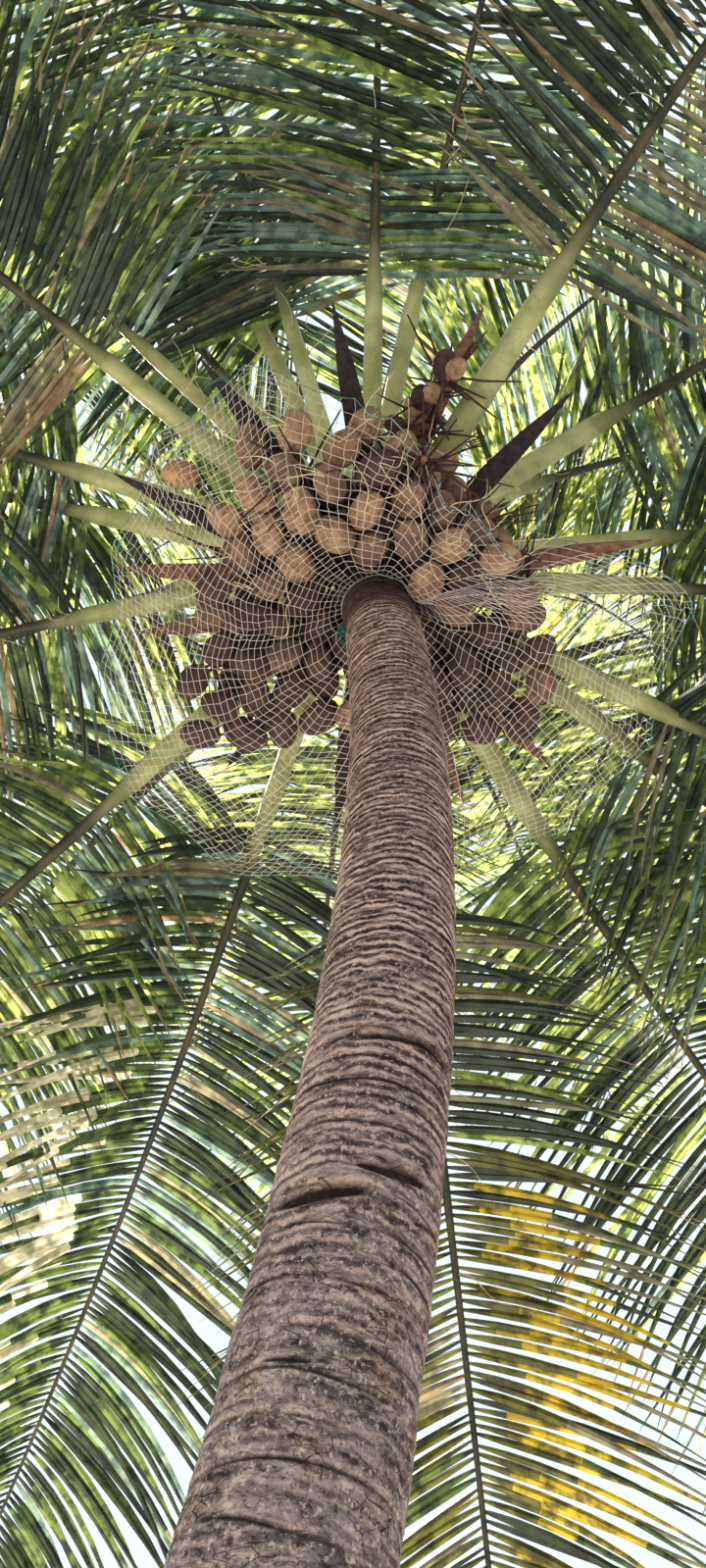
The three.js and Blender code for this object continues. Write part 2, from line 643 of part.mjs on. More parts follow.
// One panel: a square knot at each crossing, with strands between neighbouring knots.
function netPanelShell(panel) {
  const shell = new Shell();
  const span = 360 / NET_PANELS;
  const knots = [];
  for (let i = 0; i <= NET_CELLS_ROUND; i++) {
    knots.push([]);
    for (let j = 0; j <= NET_CELLS_OUT; j++) {
      const share = j / NET_CELLS_OUT;
      const radius = lerp(trunkRadius(NET_TIE_HEIGHT), NET_MEAN_REACH, share);
      const inset = THREE.MathUtils.radToDeg((NET_STRAND + SEAT_GAP) / radius);
      const azimuth = NET_TURN + panel * span + lerp(inset, span - inset, i / NET_CELLS_ROUND);
      const outwards = direction(azimuth, 0);
      const round = UP.clone().cross(outwards);
      const middle = netPoint(azimuth, share);
      const knot = [];
      for (const [a, b] of [[0, -1], [2, -1], [2, 1], [0, 1]]) {
        const shift = outwards.clone().multiplyScalar(a * NET_STRAND / 2)
          .addScaledVector(round, b * NET_STRAND / 2);
        const low = middle.clone().add(shift);
        knot.push({
          low: shell.corner(low.clone().addScaledVector(UP, -NET_THICKNESS)),
          high: shell.corner(low.addScaledVector(UP, NET_THICKNESS)),
        });
      }
      shell.quad(knot[0].high, knot[1].high, knot[2].high, knot[3].high);
      shell.quad(knot[3].low, knot[2].low, knot[1].low, knot[0].low);
      knots[i].push(knot);
    }
  }
  // A strand from the side p-q of one knot to the facing side r-s of the next, or a closed side.
  const strand = (from, p, q, to, r, s) => {
    const [a, b, c, d] = [from[p], from[q], to[r], to[s]];
    shell.quad(a.high, c.high, d.high, b.high);
    shell.quad(b.low, d.low, c.low, a.low);
    shell.quad(a.low, c.low, c.high, a.high);
    shell.quad(b.high, d.high, d.low, b.low);
  };
  const close = (knot, p, q) => shell.quad(knot[p].low, knot[q].low, knot[q].high, knot[p].high);
  for (let i = 0; i <= NET_CELLS_ROUND; i++) {
    for (let j = 0; j <= NET_CELLS_OUT; j++) {
      const knot = knots[i][j];
      if (j < NET_CELLS_OUT) {
        strand(knot, 1, 2, knots[i][j + 1], 0, 3);
      } else {
        close(knot, 1, 2);
      }
      if (j === 0) {
        close(knot, 3, 0);
      }
      if (i < NET_CELLS_ROUND) {
        strand(knot, 2, 3, knots[i + 1][j], 1, 0);
      } else {
        close(knot, 2, 3);
      }
      if (i === 0) {
        close(knot, 0, 1);
      }
    }
  }
  return shell;
}

// Assembly

function boxesMeet(a, b) {
  return [0, 1, 2].every((k) => a.min[k] <= b.max[k] && b.min[k] <= a.max[k]);
}

function meets(solid, others) {
  const box = solid.boundingBox();
  return others.some((other) => {
    if (!boxesMeet(box, other.box)) {
      return false;
    }
    const common = solid.intersect(other.solid);
    const empty = common.isEmpty();
    common.delete();
    return !empty;
  });
}

function obstacle(solid, owner) {
  return { solid, owner, box: solid.boundingBox() };
}

const palm = new THREE.Group();

function addMesh(name, solid, colour, roughness) {
  const mesh = solid.getMesh();
  const geometry = new THREE.BufferGeometry();
  geometry.setAttribute("position", new THREE.BufferAttribute(mesh.vertProperties, 3));
  geometry.setIndex(new THREE.BufferAttribute(mesh.triVerts, 1));
  const material = new THREE.MeshStandardMaterial({ color: colour, roughness, metalness: 0 });
  const named = new THREE.Mesh(geometry, material);
  named.name = name;
  palm.add(named);
}

const TRUNK_COLOUR = 0x8a7868;
const FROND_COLOUR = 0x4f6b2c;
const NUT_COLOUR = 0x9a7d5c;
const NET_COLOUR = 0xc9bda9;

const grownTrunk = trunkShell(SEAT_GAP).solid();
addMesh("trunk", trunkShell(0).solid(), TRUNK_COLOUR, 0.9);
addMesh("spear", spearShell().solid(), FROND_COLOUR, 0.6);

const obstacles = [obstacle(spearShell().solid(), "spear"), obstacle(grownTrunk, "trunk")];
FRONDS.forEach((frond, i) => {
  const random = randomFrom(i + 1);
  frond.name = `frond_${String(i + 1).padStart(2, "0")}`;
  frond.roll = lerp(-ROLL_RANGE, ROLL_RANGE, random());
  const risen = (frond.rise - LOWEST_RISE) / (HIGHEST_RISE - LOWEST_RISE);
  frond.lift = lerp(LOWEST_LIFT, HIGHEST_LIFT, risen) + lerp(-LIFT_RANGE, LIFT_RANGE, random());
  frond.size = Math.min(1, frond.length / FULL_FROND_LENGTH);
  frond.arc = frondArc(frond);
  frond.cuts = { left: [], right: [] };
  obstacles.push(obstacle(ribTrial(frond), frond.name));
});

// The net's strands are cut clear of the trunk and of the ribs that pass through its mesh.
const solidsInNet = obstacles.map((other) => other.solid);
for (let panel = 0; panel < NET_PANELS; panel++) {
  const whole = netPanelShell(panel).solid();
  const solid = mainBody(solidsInNet.reduce((left, other) => left.subtract(other), whole));
  obstacles.push(obstacle(solid, "net"));
  addMesh(`net_panel_${panel + 1}`, solid, NET_COLOUR, 0.8);
}

BUNCHES.forEach((bunch, i) => {
  const others = obstacles.filter((other) => other.owner !== "trunk");
  const solid = bunchSolid(bunch, grownTrunk, others);
  obstacles.push(obstacle(solid, "bunch"));
  addMesh(`bunch_${i + 1}`, solid, NUT_COLOUR, 0.85);
});

// Each leaflet is tried at full length, then shorter, and left out where it still meets a neighbour.
const { shares, leafy } = frondStations();
for (const frond of FRONDS) {
  for (let i = 0; i < leafy.length; i++) {
    if (!leafy[i]) {
      continue;
    }
    for (const side of [1, -1]) {
      const others = obstacles.filter((other) => other.owner !== frond.name);
      const cut = LEAFLET_CUTS.find((share) => {
        return !meets(trialLeaflet(frond, shares[i], shares[i + 1], side, share), others);
      }) ?? 0;
      frond.cuts[side > 0 ? "left" : "right"][i] = cut;
      if (cut > 0) {
        const kept = trialLeaflet(frond, shares[i], shares[i + 1], side, cut);
        obstacles.push(obstacle(kept, frond.name));
      }
    }
  }
}

// An arched frond is two nodes, split where half of its bend is done.
for (const frond of FRONDS) {
  const last = shares.length - 1;
  const arched = frond.rise - frond.tip > SPLIT_BEND;
  const split = arched ? shares.findIndex((share, i) => share > SPLIT_SHARE && leafy[i]) : last;
  const inner = mainBody(frondShell(frond, 0, split).solid().subtract(grownTrunk));
  addMesh(frond.name, inner, FROND_COLOUR, 0.6);
  if (arched) {
    addMesh(`${frond.name}_tip`, frondShell(frond, split, last).solid(), FROND_COLOUR, 0.6);
  }
}

export default palm;
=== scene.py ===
"""A coconut palm in fruit. Metres, +Z up, origin at the trunk's flat cut at ground level."""

import math

import bpy
import numpy as np
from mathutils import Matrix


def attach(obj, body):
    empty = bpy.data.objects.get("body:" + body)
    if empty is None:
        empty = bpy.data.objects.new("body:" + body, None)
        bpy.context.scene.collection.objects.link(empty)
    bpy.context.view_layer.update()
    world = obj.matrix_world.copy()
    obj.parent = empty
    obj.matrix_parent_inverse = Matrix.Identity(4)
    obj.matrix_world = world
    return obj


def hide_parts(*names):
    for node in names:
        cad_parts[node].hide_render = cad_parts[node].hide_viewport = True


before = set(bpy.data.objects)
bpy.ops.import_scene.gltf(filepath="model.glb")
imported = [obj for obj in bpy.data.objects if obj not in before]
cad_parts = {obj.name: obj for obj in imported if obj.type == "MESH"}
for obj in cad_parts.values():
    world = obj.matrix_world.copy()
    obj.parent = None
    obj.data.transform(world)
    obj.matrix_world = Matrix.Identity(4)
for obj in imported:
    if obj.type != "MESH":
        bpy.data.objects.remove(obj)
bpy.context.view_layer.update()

# Trunk: its middle line is a sine wave that crests at the lean's height, its radius a straight taper
# with a swollen foot.
TRUNK_LEAN = 0.88
TRUNK_LEAN_HEIGHT = 5.0
TRUNK_TOP = 6.96
TRUNK_FOOT_RADIUS = 0.214
TRUNK_NECK_RADIUS = 0.148
TRUNK_NECK_HEIGHT = 6.15
TRUNK_TOP_RADIUS = 0.052
FOOT_SWELLING = 0.084
FOOT_SWELLING_HEIGHT = 0.34
END_LEVEL_SPAN = 0.6
TRUNK_SIDES = 92

# Bark: spacing of the ring scars, rows from scar to scar, and the cracks, lips and swellings on them.
SCAR_SPACING_FOOT = 0.085
SCAR_SPACING_TOP = 0.048
SCAR_ROWS = [0.0, 0.04, 0.09, 0.16, 0.28, 0.45, 0.62, 0.78, 0.9, 0.965]
CRACK_DEPTH = 0.005
CRACK_HALF_HEIGHT = 0.0045
LIP_DEPTH = 0.002
LIP_PLACE = 0.011
LIP_HALF_HEIGHT = 0.008
SWELL_DEPTH = 0.001

# Deep notches in the bark: height, azimuth, half span in degrees, half height and depth in metres.
NOTCHES = [
    (3.49, -76, 66, 0.010, 0.016),
    (3.065, -112, 36, 0.020, 0.020),
    (3.14, -62, 30, 0.013, 0.012),
    (2.72, -104, 26, 0.005, 0.008),
    (2.30, -70, 40, 0.010, 0.010),
    (1.62, 20, 50, 0.012, 0.012),
    (4.31, 70, 44, 0.010, 0.010),
    (1.05, -150, 38, 0.012, 0.013),
]

# Frond: a rib, bare over the stalk, with pairs of leaflets beyond it.
RIB_FOOT_WIDTH = 0.084
RIB_BASE_WIDTH = 0.12
RIB_BASE_SHARE = 0.06
RIB_STALK_WIDTH = 0.096
RIB_TIP_WIDTH = 0.009
RIB_TAPER_POWER = 0.28
RIB_DEPTH_SHARE = 0.62
RIB_SUNK = 0.03
STALK_SHARE = 0.23
ARC_STEPS = 60
RIB_RINGS = 64
LEAFLET_PITCH = 0.031
LEAFLET_LENGTH = 1.28
LEAFLET_HALF_WIDTH = 0.0165
LEAFLET_DROOP = 0.3
LEAFLET_ANGLE_FOOT = 84
LEAFLET_ANGLE_TIP = 42
FOLD_FOOT = 46
FOLD_TIP = 26
# A frond's roll to either side; the lift of its leaflets, from one elevation of its foot and lift to
# another, and how far it strays; and the length from which its leaflets are full-sized.
ROLL_SPREAD = 14
LIFT_LOW = (-45, -20)
LIFT_HIGH = (70, 14)
LIFT_SPREAD = 4
FULL_LENGTH = 4.8
# Leaflets of a spray share a turn and a lift; those of a clump lean together.
SPRAY = 3
CLUMP = 5
CLUMP_TURN = -0.13

# Azimuth, height of the foot on the stem, elevation there and at the tip, length and, where they
# aren't the usual ones, the rib's girth and the turn on the way.
FRONDS = [
    (112, 6.66, -31, -42, 5.7, 0.85, 12),
    (81, 6.27, -42, -83, 5.7),
    (53, 6.39, -25, -48, 5.8, 0.95, -21),
    (145, 6.33, -25, -45, 5.6, 0.95),
    (-141, 6.27, 10, -38, 5.7, 0.8, -4),
    (-56, 6.39, 18, -40, 5.8, 1.05),
    (-1, 6.42, 14, -54, 5.6),
    (17, 6.27, -22, -43, 5.5),
    (7, 6.33, 12, -40, 5.4),
    (168, 6.45, 3, -49, 5.4),
    (-165, 6.51, 9, -55, 5.4, 0.88, 5),
    (-22, 6.48, 29, -37, 5.5, 1),
    (-123, 6.81, 48, -38, 5.4, 0.78),
    (27, 6.48, -27, -59, 5.3),
    (-136, 6.57, 5, -55, 5.2, 0.6),
    (-174, 6.36, 18, -45, 5.3),
    (-89, 6.33, 39, -39, 5.3, 0.78),
    (-113, 6.69, 48, -36, 5.0, 0.78),
    (-76, 6.66, 29, -36, 5.0, 0.78),
    (100, 6.78, 52, -30, 5.0, 0.8),
    (40, 6.78, 55, -20, 4.9, 0.8),
    (-25, 6.78, 60, -14, 4.8, 0.8),
    (138, 6.84, 68, 10, 4.4, 0.75),
    (-146, 6.89, 52, -18, 4.8, 0.75),
    (68, 6.54, 32, -46, 5.2),
    (132, 6.39, 6, -52, 5.5),
    (95, 6.42, 22, -50, 5.3),
    (152, 6.66, 34, -46, 5.3),
    (2, 6.72, 46, -34, 5.1),
    (45, 6.60, 24, -50, 5.3),
    (-62, 6.89, 74, 36, 3.7, 0.7),
    (168, 6.89, 73, 30, 3.7, 0.62),
]

# A rib's outline, in half widths and depths: channelled above, rounded to a keel below.
RIB_SIDES = [(1, 0.4), (0.95, 0.06), (0.72, -0.33), (0.36, -0.54), (0, -0.6), (-0.36, -0.54),
             (-0.72, -0.33), (-0.95, 0.06), (-1, 0.4), (-0.6, 0.3), (0, 0.2), (0.6, 0.3)]

# A blade's stations along its length, and its width at each as a share of its widest.
BLADE_STATIONS = np.array([0, 0.035, 0.1, 0.2, 0.34, 0.5, 0.66, 0.8, 0.9, 0.96, 1.0])
BLADE_WIDTHS = np.array([0.5, 0.75, 1.1, 1.22, 1.16, 0.96, 0.7, 0.46, 0.27, 0.14, 0.03])

# Kinds of leaf: screen colours in shade, with light through it, and at its darkest.
LEAF_KINDS = {
    "deep": ((62, 76, 50), (156, 180, 84), (28, 38, 28), 0.2),
    # Painted shade: a darker kind of leaflet, dealt out where fronds and stretches of them lie in shade.
    "shade": ((36, 46, 34), (104, 124, 58), (16, 24, 18), 0.09),
    "fresh": ((126, 144, 82), (230, 236, 132), (92, 112, 56), 0.54),
    "blue": ((108, 130, 118), (170, 196, 156), (62, 82, 78), 0.24),
    "dull": ((134, 126, 100), (190, 180, 134), (94, 88, 70), 0.3),
    # Painted light: gold where the sun shines through the middle of the leaflets.
    "golden": ((180, 150, 40), (240, 206, 50), (100, 92, 38), 0.46),
    "olive": ((88, 84, 40), (160, 156, 58), (54, 52, 30), 0.24),
    # Painted light: cream where the sun falls on the leaflets of frond 1.
    "pale": ((240, 230, 198), (255, 246, 218), (186, 176, 140), 0.5),
    "dry": ((150, 126, 96), (200, 172, 130), (108, 88, 68), 0.3),
}
KIND = {name: number for number, name in enumerate(LEAF_KINDS)}

# Share of each kind on a frond, by frond number from 1; the others take the first row.
YOUNG_SHARES = dict(deep=0.3, fresh=0.65, golden=0.05)
LIT_SHARES = dict(deep=0.4, fresh=0.6)
KIND_SHARES = {
    0: dict(deep=0.55, fresh=0.24, blue=0.15, dull=0.05, dry=0.01),
    # Frond 1 takes the shade kind often: painted shade.
    1: dict(deep=0.4, shade=0.38, blue=0.12, dull=0.09, dry=0.01),
    2: dict(deep=0.56, fresh=0.05, olive=0.15, golden=0.02, dull=0.21, dry=0.01),
    3: dict(deep=0.66, fresh=0.24, blue=0.09, dry=0.01),
    5: dict(deep=0.44, blue=0.22, dull=0.32, dry=0.02),
    6: dict(deep=0.42, blue=0.14, dull=0.42, dry=0.02),
    13: dict(deep=0.44, fresh=0.06, dull=0.2, blue=0.28, dry=0.02),
    17: dict(deep=0.4, fresh=0.14, dull=0.18, blue=0.28),
    18: dict(deep=0.42, fresh=0.08, dull=0.18, blue=0.32),
    19: dict(deep=0.44, fresh=0.14, dull=0.16, blue=0.26),
    20: YOUNG_SHARES,
    21: YOUNG_SHARES,
    22: dict(deep=0.35, fresh=0.45, blue=0.2),
    23: dict(deep=0.3, fresh=0.7),
    24: dict(deep=0.4, fresh=0.25, blue=0.35),
    25: LIT_SHARES,
    27: LIT_SHARES,
    30: LIT_SHARES,
}

# The breadth of some fronds' leaflets against the others', near the rib and at the tip, by number
# from 1.
FROND_BREADTHS = {
    1: (1.25, 1.25), 2: (1.25, 0.35), 3: (1.12, 1.12), 4: (1.1, 1.1), 26: (1.1, 1.1), 28: (1.1, 1.1),
}

# Stretches of a frond with leaflets of one kind: frond number from 1, side, from and to which place
# along its leafy part, the chance of it, and the kind. Gold stretches are painted sunlight shining
# through, pale ones painted sunlight falling on the leaflets, shade ones painted shade.
COLOURED_STRETCHES = [
    (2, -1, 0.25, 0.56, 0.88, "golden"), (2, -1, 0.56, 0.95, 0.5, "dull"), (2, -1, 0.56, 0.75, 0.4, "golden"),
    (2, 1, 0.15, 0.7, 0.6, "olive"), (2, 1, 0.2, 0.6, 0.1, "golden"),
    (1, 1, 0.18, 0.88, 0.9, "pale"), (1, -1, 0.6, 0.95, 0.06, "golden"), (5, -1, 0.1, 0.6, 0.3, "blue"),
    (12, -1, 0.0, 0.5, 0.4, "blue"), (6, -1, 0.0, 0.5, 0.7, "shade"), (5, 1, 0.0, 0.4, 0.6, "shade"),
]

SPEAR_RADIUS = 0.038
SPEAR_LENGTH = 2.3
SPEAR_GAP = 0.0003

STALK_RADIUS = 0.024
STALK_TIP = -62
STALK_STEPS = 12
TWIGS = 90
NUT_RADIUS = 0.071
NUT_HALF_LENGTH = 0.096
NUT_ROUND = 20
NUT_ALONG = 14
# Half the distance that nuts keep, and their centres' height over the net.
NUT_SPACING = 0.085
STEM_ARCH = 0.03
YOUNG_NUTS = 7
# The one orange nut's azimuth and reach.
STRAY_NUT = (-146, 0.95)
GOLDEN_ANGLE = 137.5
# The nuts' reach from the stem at even steps of azimuth, from +X round by +Y, and the count, height
# and reach of their layers.
NUT_SPREAD = [0.66, 0.86, 0.6, 0.45, 0.6, 0.97, 0.74, 0.78, 0.92, 0.78, 0.64, 0.6]
NUT_LAYERS = [(78, 0.0, 1.0), (28, 0.13, 0.8)]
BRACT_LENGTH = 1.05
BRACT_HALF_WIDTH = 0.058
BRACT_RINGS = 18

# Azimuth, height of the stalk on the stem, elevation there, reach, and the azimuth and elevation of
# the bract.
BUNCHES = [
    (-116, 6.20, 4, 0.64, -126, 7),
    (-73, 6.21, 8, 0.60, -100, 13),
    (-40, 6.20, 4, 0.46, -43, 22),
    (-8, 6.21, 0, 0.60, -16, -6),
    (38, 6.19, -4, 0.62, 47, -8),
    (160, 6.20, 0, 0.68, 163, 12),
    (-157, 6.19, 0, 0.56, -153, -3),
    (-68, 6.545, 18, 0.90, -66, 10),
]
BUNCH_NODES = [f"bunch_{i + 1}" for i in range(len(BUNCHES))]
# Which bunches have a brown bract instead of a black one, from 0.
BROWN_BRACTS = (3, 4, 5, 7)
# Old bracts: azimuth, height on the stem, elevation, length, and 1 for a brown one.
OLD_BRACTS = [
    (178, 6.30, 16, 1.05, 1), (126, 6.30, -2, 1.05, 0), (98, 6.30, -14, 1.05, 0), (67, 6.30, -12, 1.0, 1),
]

# Husks: the material's name, and its light, middle and dark colours.
HUSKS = {
    "nuts_tan": ("nut_husk", (182, 146, 114), (140, 106, 82), (70, 50, 42)),
    # Dark brown husks: the own colour of some young nuts, and painted shade on the nuts that lie in shade in
    # the net.
    "nuts_brown_and_shade": ("nut_husk_brown_and_shade", (90, 66, 58), (64, 46, 42), (34, 25, 24)),
    "nuts_umber": ("nut_husk_umber", (148, 114, 92), (108, 82, 68), (54, 40, 34)),
    "nut_orange": ("nut_husk_orange", (196, 150, 102), (168, 122, 78), (110, 76, 50)),
}

NET_TIE_HEIGHT = 6.02
NET_SAG = 0.19
# The net's reach and its edge's height at even steps of azimuth, from +X round by +Y.
NET_REACHES = [1.33, 1.28, 1.29, 1.28, 1.37, 1.34, 1.15, 1.15, 1.07, 0.8, 0.56, 0.62]
NET_EDGES = [6.05, 5.74, 5.78, 5.78, 5.76, 5.74, 6.08, 6.25, 6.3, 6.3, 6.3, 6.25]
NET_ROUND = 200
NET_ROWS = 40
NET_CORD = 0.0013
NET_SPIRAL = 22
# The net's distance from the trunk and from the nuts, and how far out a nut presses it down.
NET_GAP = 0.004
NUT_PRESS_RADIUS = 0.088
# Nearer the trunk than these reaches, only every fourth and every second radial cord is there.
NET_FOURTHS_REACH = 0.42
NET_HALVES_REACH = 0.86
# Rings of cord stand one, two or three rows apart where the net is this long, a half or a third of it.
NET_FULL_SPAN = 1.216
ROPE_RADIUS = 0.0022
THREAD_RADIUS = 0.0014
COLLAR_HEIGHT = 6.012
KNOT_HEIGHT = 5.995
KNOT_AZIMUTH = 150

MIDDLE_X = 0.8
FLOOR_RADIUS = 7.5
SUN_STRENGTH = 18.0
PANEL_WATTS = 100.0
PANEL_REACH = 10

UP = np.array([0.0, 0.0, 1.0])


def lerp(a, b, share):
    return a + (b - a) * share


def unit(vectors):
    return vectors / np.linalg.norm(vectors, axis=-1, keepdims=True)


def direction(azimuth, elevation):
    a, e = np.radians(azimuth), np.radians(elevation)
    return np.stack([np.cos(e) * np.cos(a), np.cos(e) * np.sin(a), np.sin(e) + 0 * a], axis=-1)


def random_from(seed):
    state = seed * 2654435761 % 4294967296
    while True:
        state = (state * 1664525 + 1013904223) % 4294967296
        yield state / 4294967296


def turns(sides):
    """Angles at even steps round a circle."""
    return np.arange(sides) / sides * 2 * math.pi


def circles(left, upper, turn):
    """Unit circles on one or more pairs of crosswise directions."""
    return left[..., None, :] * np.cos(turn)[:, None] + upper[..., None, :] * np.sin(turn)[:, None]


def crosswise(axis, guide=(0.31, 0.77, 0.55)):
    """Two directions at right angles to an axis and to each other."""
    side = unit(np.cross(axis, guide))
    return side, np.cross(axis, side)


def walk(start, steps):
    """The points of a path, from its start and its steps."""
    return start + np.concatenate([np.zeros((1, 3)), np.cumsum(steps, axis=0)])


# Meshes


def wall_faces(rings, sides):
    """Quads between rings of corners that are numbered ring by ring."""
    ring = np.arange(rings - 1)[:, None] * sides
    side = np.arange(sides)[None, :]
    following = (side + 1) % sides
    quads = np.stack([ring + side, ring + following, ring + sides + following, ring + sides + side], axis=-1)
    return quads.reshape(-1, 4)


def cap_faces(rings, sides):
    """A fan of triangles over the first ring, then one over the last."""
    order = np.arange(1, sides - 1)
    fan = np.stack([0 * order, order, order + 1], axis=-1)
    return np.concatenate([fan[:, ::-1], fan + (rings - 1) * sides])


class Build:
    """Corners and faces that are gathered for one piece."""

    def __init__(self):
        self.points = []
        self.quads = []
        self.triangles = []
        self.count = 0

    def add(self, points, quads, triangles=()):
        points = np.asarray(points, dtype=float).reshape(-1, 3)
        self.quads.append(quads + self.count)
        if len(triangles):
            self.triangles.append(triangles + self.count)
        self.points.append(points)
        self.count += len(points)

    def add_rings(self, points, capped=True):
        """A surface through rings of corners, closed at both ends or open."""
        rings, sides = points.shape[:2]
        self.add(points, wall_faces(rings, sides), cap_faces(rings, sides) if capped else ())

    def piece(self, name, material, slot, replaced=()):
        """A smooth mesh of all that was gathered, which rides on the tree."""
        points = np.concatenate(self.points).astype(np.float32)
        faces = [np.concatenate(group) for group in (self.quads, self.triangles) if group]
        corners = np.concatenate([group.reshape(-1) for group in faces])
        sizes = np.concatenate([np.full(len(group), group.shape[1]) for group in faces])
        mesh = bpy.data.meshes.new(name)
        mesh.vertices.add(len(points))
        mesh.vertices.foreach_set("co", points.reshape(-1))
        mesh.loops.add(len(corners))
        mesh.loops.foreach_set("vertex_index", corners.astype(np.int32))
        mesh.polygons.add(len(sizes))
        mesh.polygons.foreach_set("loop_start", (np.cumsum(sizes) - sizes).astype(np.int32))
        mesh.polygons.foreach_set("use_smooth", np.full(len(sizes), True))
        mesh.materials.append(material)
        mesh.update(calc_edges=True)
        mesh.validate()
        made = bpy.data.objects.new(name, mesh)
        bpy.context.scene.collection.objects.link(made)
        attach(made, "root")
        if replaced:
            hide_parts(*replaced)
        return made


def add_layer(made, name, values):
    """Numbers or vectors at a piece's corners, for its material."""
    kind, field = ("FLOAT_VECTOR", "vector") if values.ndim == 3 else ("FLOAT", "value")
    layer = made.data.attributes.new(name, kind, "POINT")
    layer.data.foreach_set(field, values.astype(np.float32).reshape(-1))


def tube(build, path, radii, sides, capped=True):
    """A tube along a path of points; its rings keep level as far as they can."""
    path = np.asarray(path, dtype=float)
    heading = unit(np.gradient(path, axis=0))
    left = np.cross(UP, heading)
    upright = np.linalg.norm(left, axis=1) < 0.05
    left[upright] = np.cross([1.0, 0.0, 0.0], heading[upright])
    left = unit(left)
    ring = circles(left, np.cross(heading, left), turns(sides))
    radii = np.broadcast_to(np.asarray(radii, dtype=float), (len(path),))
    build.add_rings(path[:, None] + ring * radii[:, None, None], capped)


def add_wisp(build, start, go, bend, halfway, radii):
    """A bent spike from a point, with a share of its bend halfway."""
    tube(build, [start, start + go * 0.5 + bend * halfway, start + go + bend], radii, 4)


# Materials: a colour is a triple of screen values from 0 to 255, or the output of another node.


def shader_colour(colour):
    if isinstance(colour, bpy.types.NodeSocket):
        return colour
    shares = [value / 255 for value in colour]
    linear = [s / 12.92 if s <= 0.04045 else ((s + 0.055) / 1.055) ** 2.4 for s in shares]
    return (*linear, 1.0)


def add_node(tree, kind, inputs, output=0, **settings):
    """A node with its settings and inputs, for one of its outputs."""
    made = tree.nodes.new("ShaderNode" + kind)
    for name, value in settings.items():
        setattr(made, name, value)
    for name, value in inputs.items():
        if isinstance(value, bpy.types.NodeSocket):
            tree.links.new(value, made.inputs[name])
        else:
            made.inputs[name].default_value = value
    return made.outputs[output] if len(made.outputs) else None


class Shader:
    """One material's nodes, made from object coordinates, and the colour that is painted so far."""

    def __init__(self, name):
        self.material = bpy.data.materials.new(name)
        self.material.use_nodes = True
        self.tree = self.material.node_tree
        self.tree.nodes.clear()
        self.place = self.node("TexCoord", {}, "Object")
        self.colour = None

    def node(self, kind, inputs, output=0, **settings):
        return add_node(self.tree, kind, inputs, output, **settings)

    def stretched(self, z):
        if z == 1:
            return self.place
        return self.node("Mapping", {"Vector": self.place, "Scale": (1.0, 1.0, z)})

    def noise(self, scale, detail=3.0, roughness=0.55, z=1, distortion=0.0):
        inputs = {"Vector": self.stretched(z), "Scale": scale, "Detail": detail}
        inputs.update({"Roughness": roughness, "Distortion": distortion})
        return self.node("TexNoise", inputs, "Fac")

    def cell_edges(self, scale, z):
        """The distance to the nearest edge between cells."""
        inputs = {"Vector": self.stretched(z), "Scale": scale}
        return self.node("TexVoronoi", inputs, "Distance", feature="DISTANCE_TO_EDGE")

    def attribute(self, name, output="Fac"):
        return self.node("Attribute", {}, output, attribute_name=name)

    def bands(self, period, distortion):
        """Waves along Z, from 0 to 1 and back in one period."""
        inputs = {"Vector": self.place, "Scale": math.pi / 10 / period, "Distortion": distortion}
        inputs.update({"Detail": 3.0, "Detail Scale": 0.9, "Detail Roughness": 0.62})
        return self.node("TexWave", inputs, "Fac", wave_type="BANDS", bands_direction="Z")

    def rise(self, value, low, high, to_low=0.0, to_high=1.0):
        """The value carried from one span to another, and held at its ends."""
        inputs = {"Value": value, "From Min": low, "From Max": high, "To Min": to_low, "To Max": to_high}
        return self.node("MapRange", inputs, "Result")

    def times(self, first, *others):
        for other in others:
            first = self.node("Math", {0: first, 1: other}, operation="MULTIPLY")
        return first

    def total(self, first, *others):
        for other in others:
            first = self.node("Math", {0: first, 1: other}, operation="ADD")
        return first

    def mix(self, share, a, b):
        inputs = {0: share, 6: shader_colour(a), 7: shader_colour(b)}
        return self.node("Mix", inputs, 2, data_type="RGBA")

    def paint(self, colour, *shares):
        """Lays a colour over what is painted so far, by the product of some shares."""
        self.colour = self.mix(self.times(*shares), self.colour, colour)

    def bump(self, relief, strength, distance):
        return self.node("Bump", {"Strength": strength, "Distance": distance, "Height": relief})

    def finish(self, roughness, normal=None, specular=0.3, through=None, share=0.0):
        """The material in the colour painted so far, a share of it letting light through."""
        inputs = {"Base Color": self.colour, "Roughness": roughness, "Specular IOR Level": specular}
        if normal is not None:
            inputs["Normal"] = normal
        shown = self.node("BsdfPrincipled", inputs)
        if through is not None:
            light = self.node("BsdfTranslucent", {"Color": through})
            shown = self.node("MixShader", {0: share, 1: shown, 2: light})
        self.node("OutputMaterial", {"Surface": shown})
        return self.material


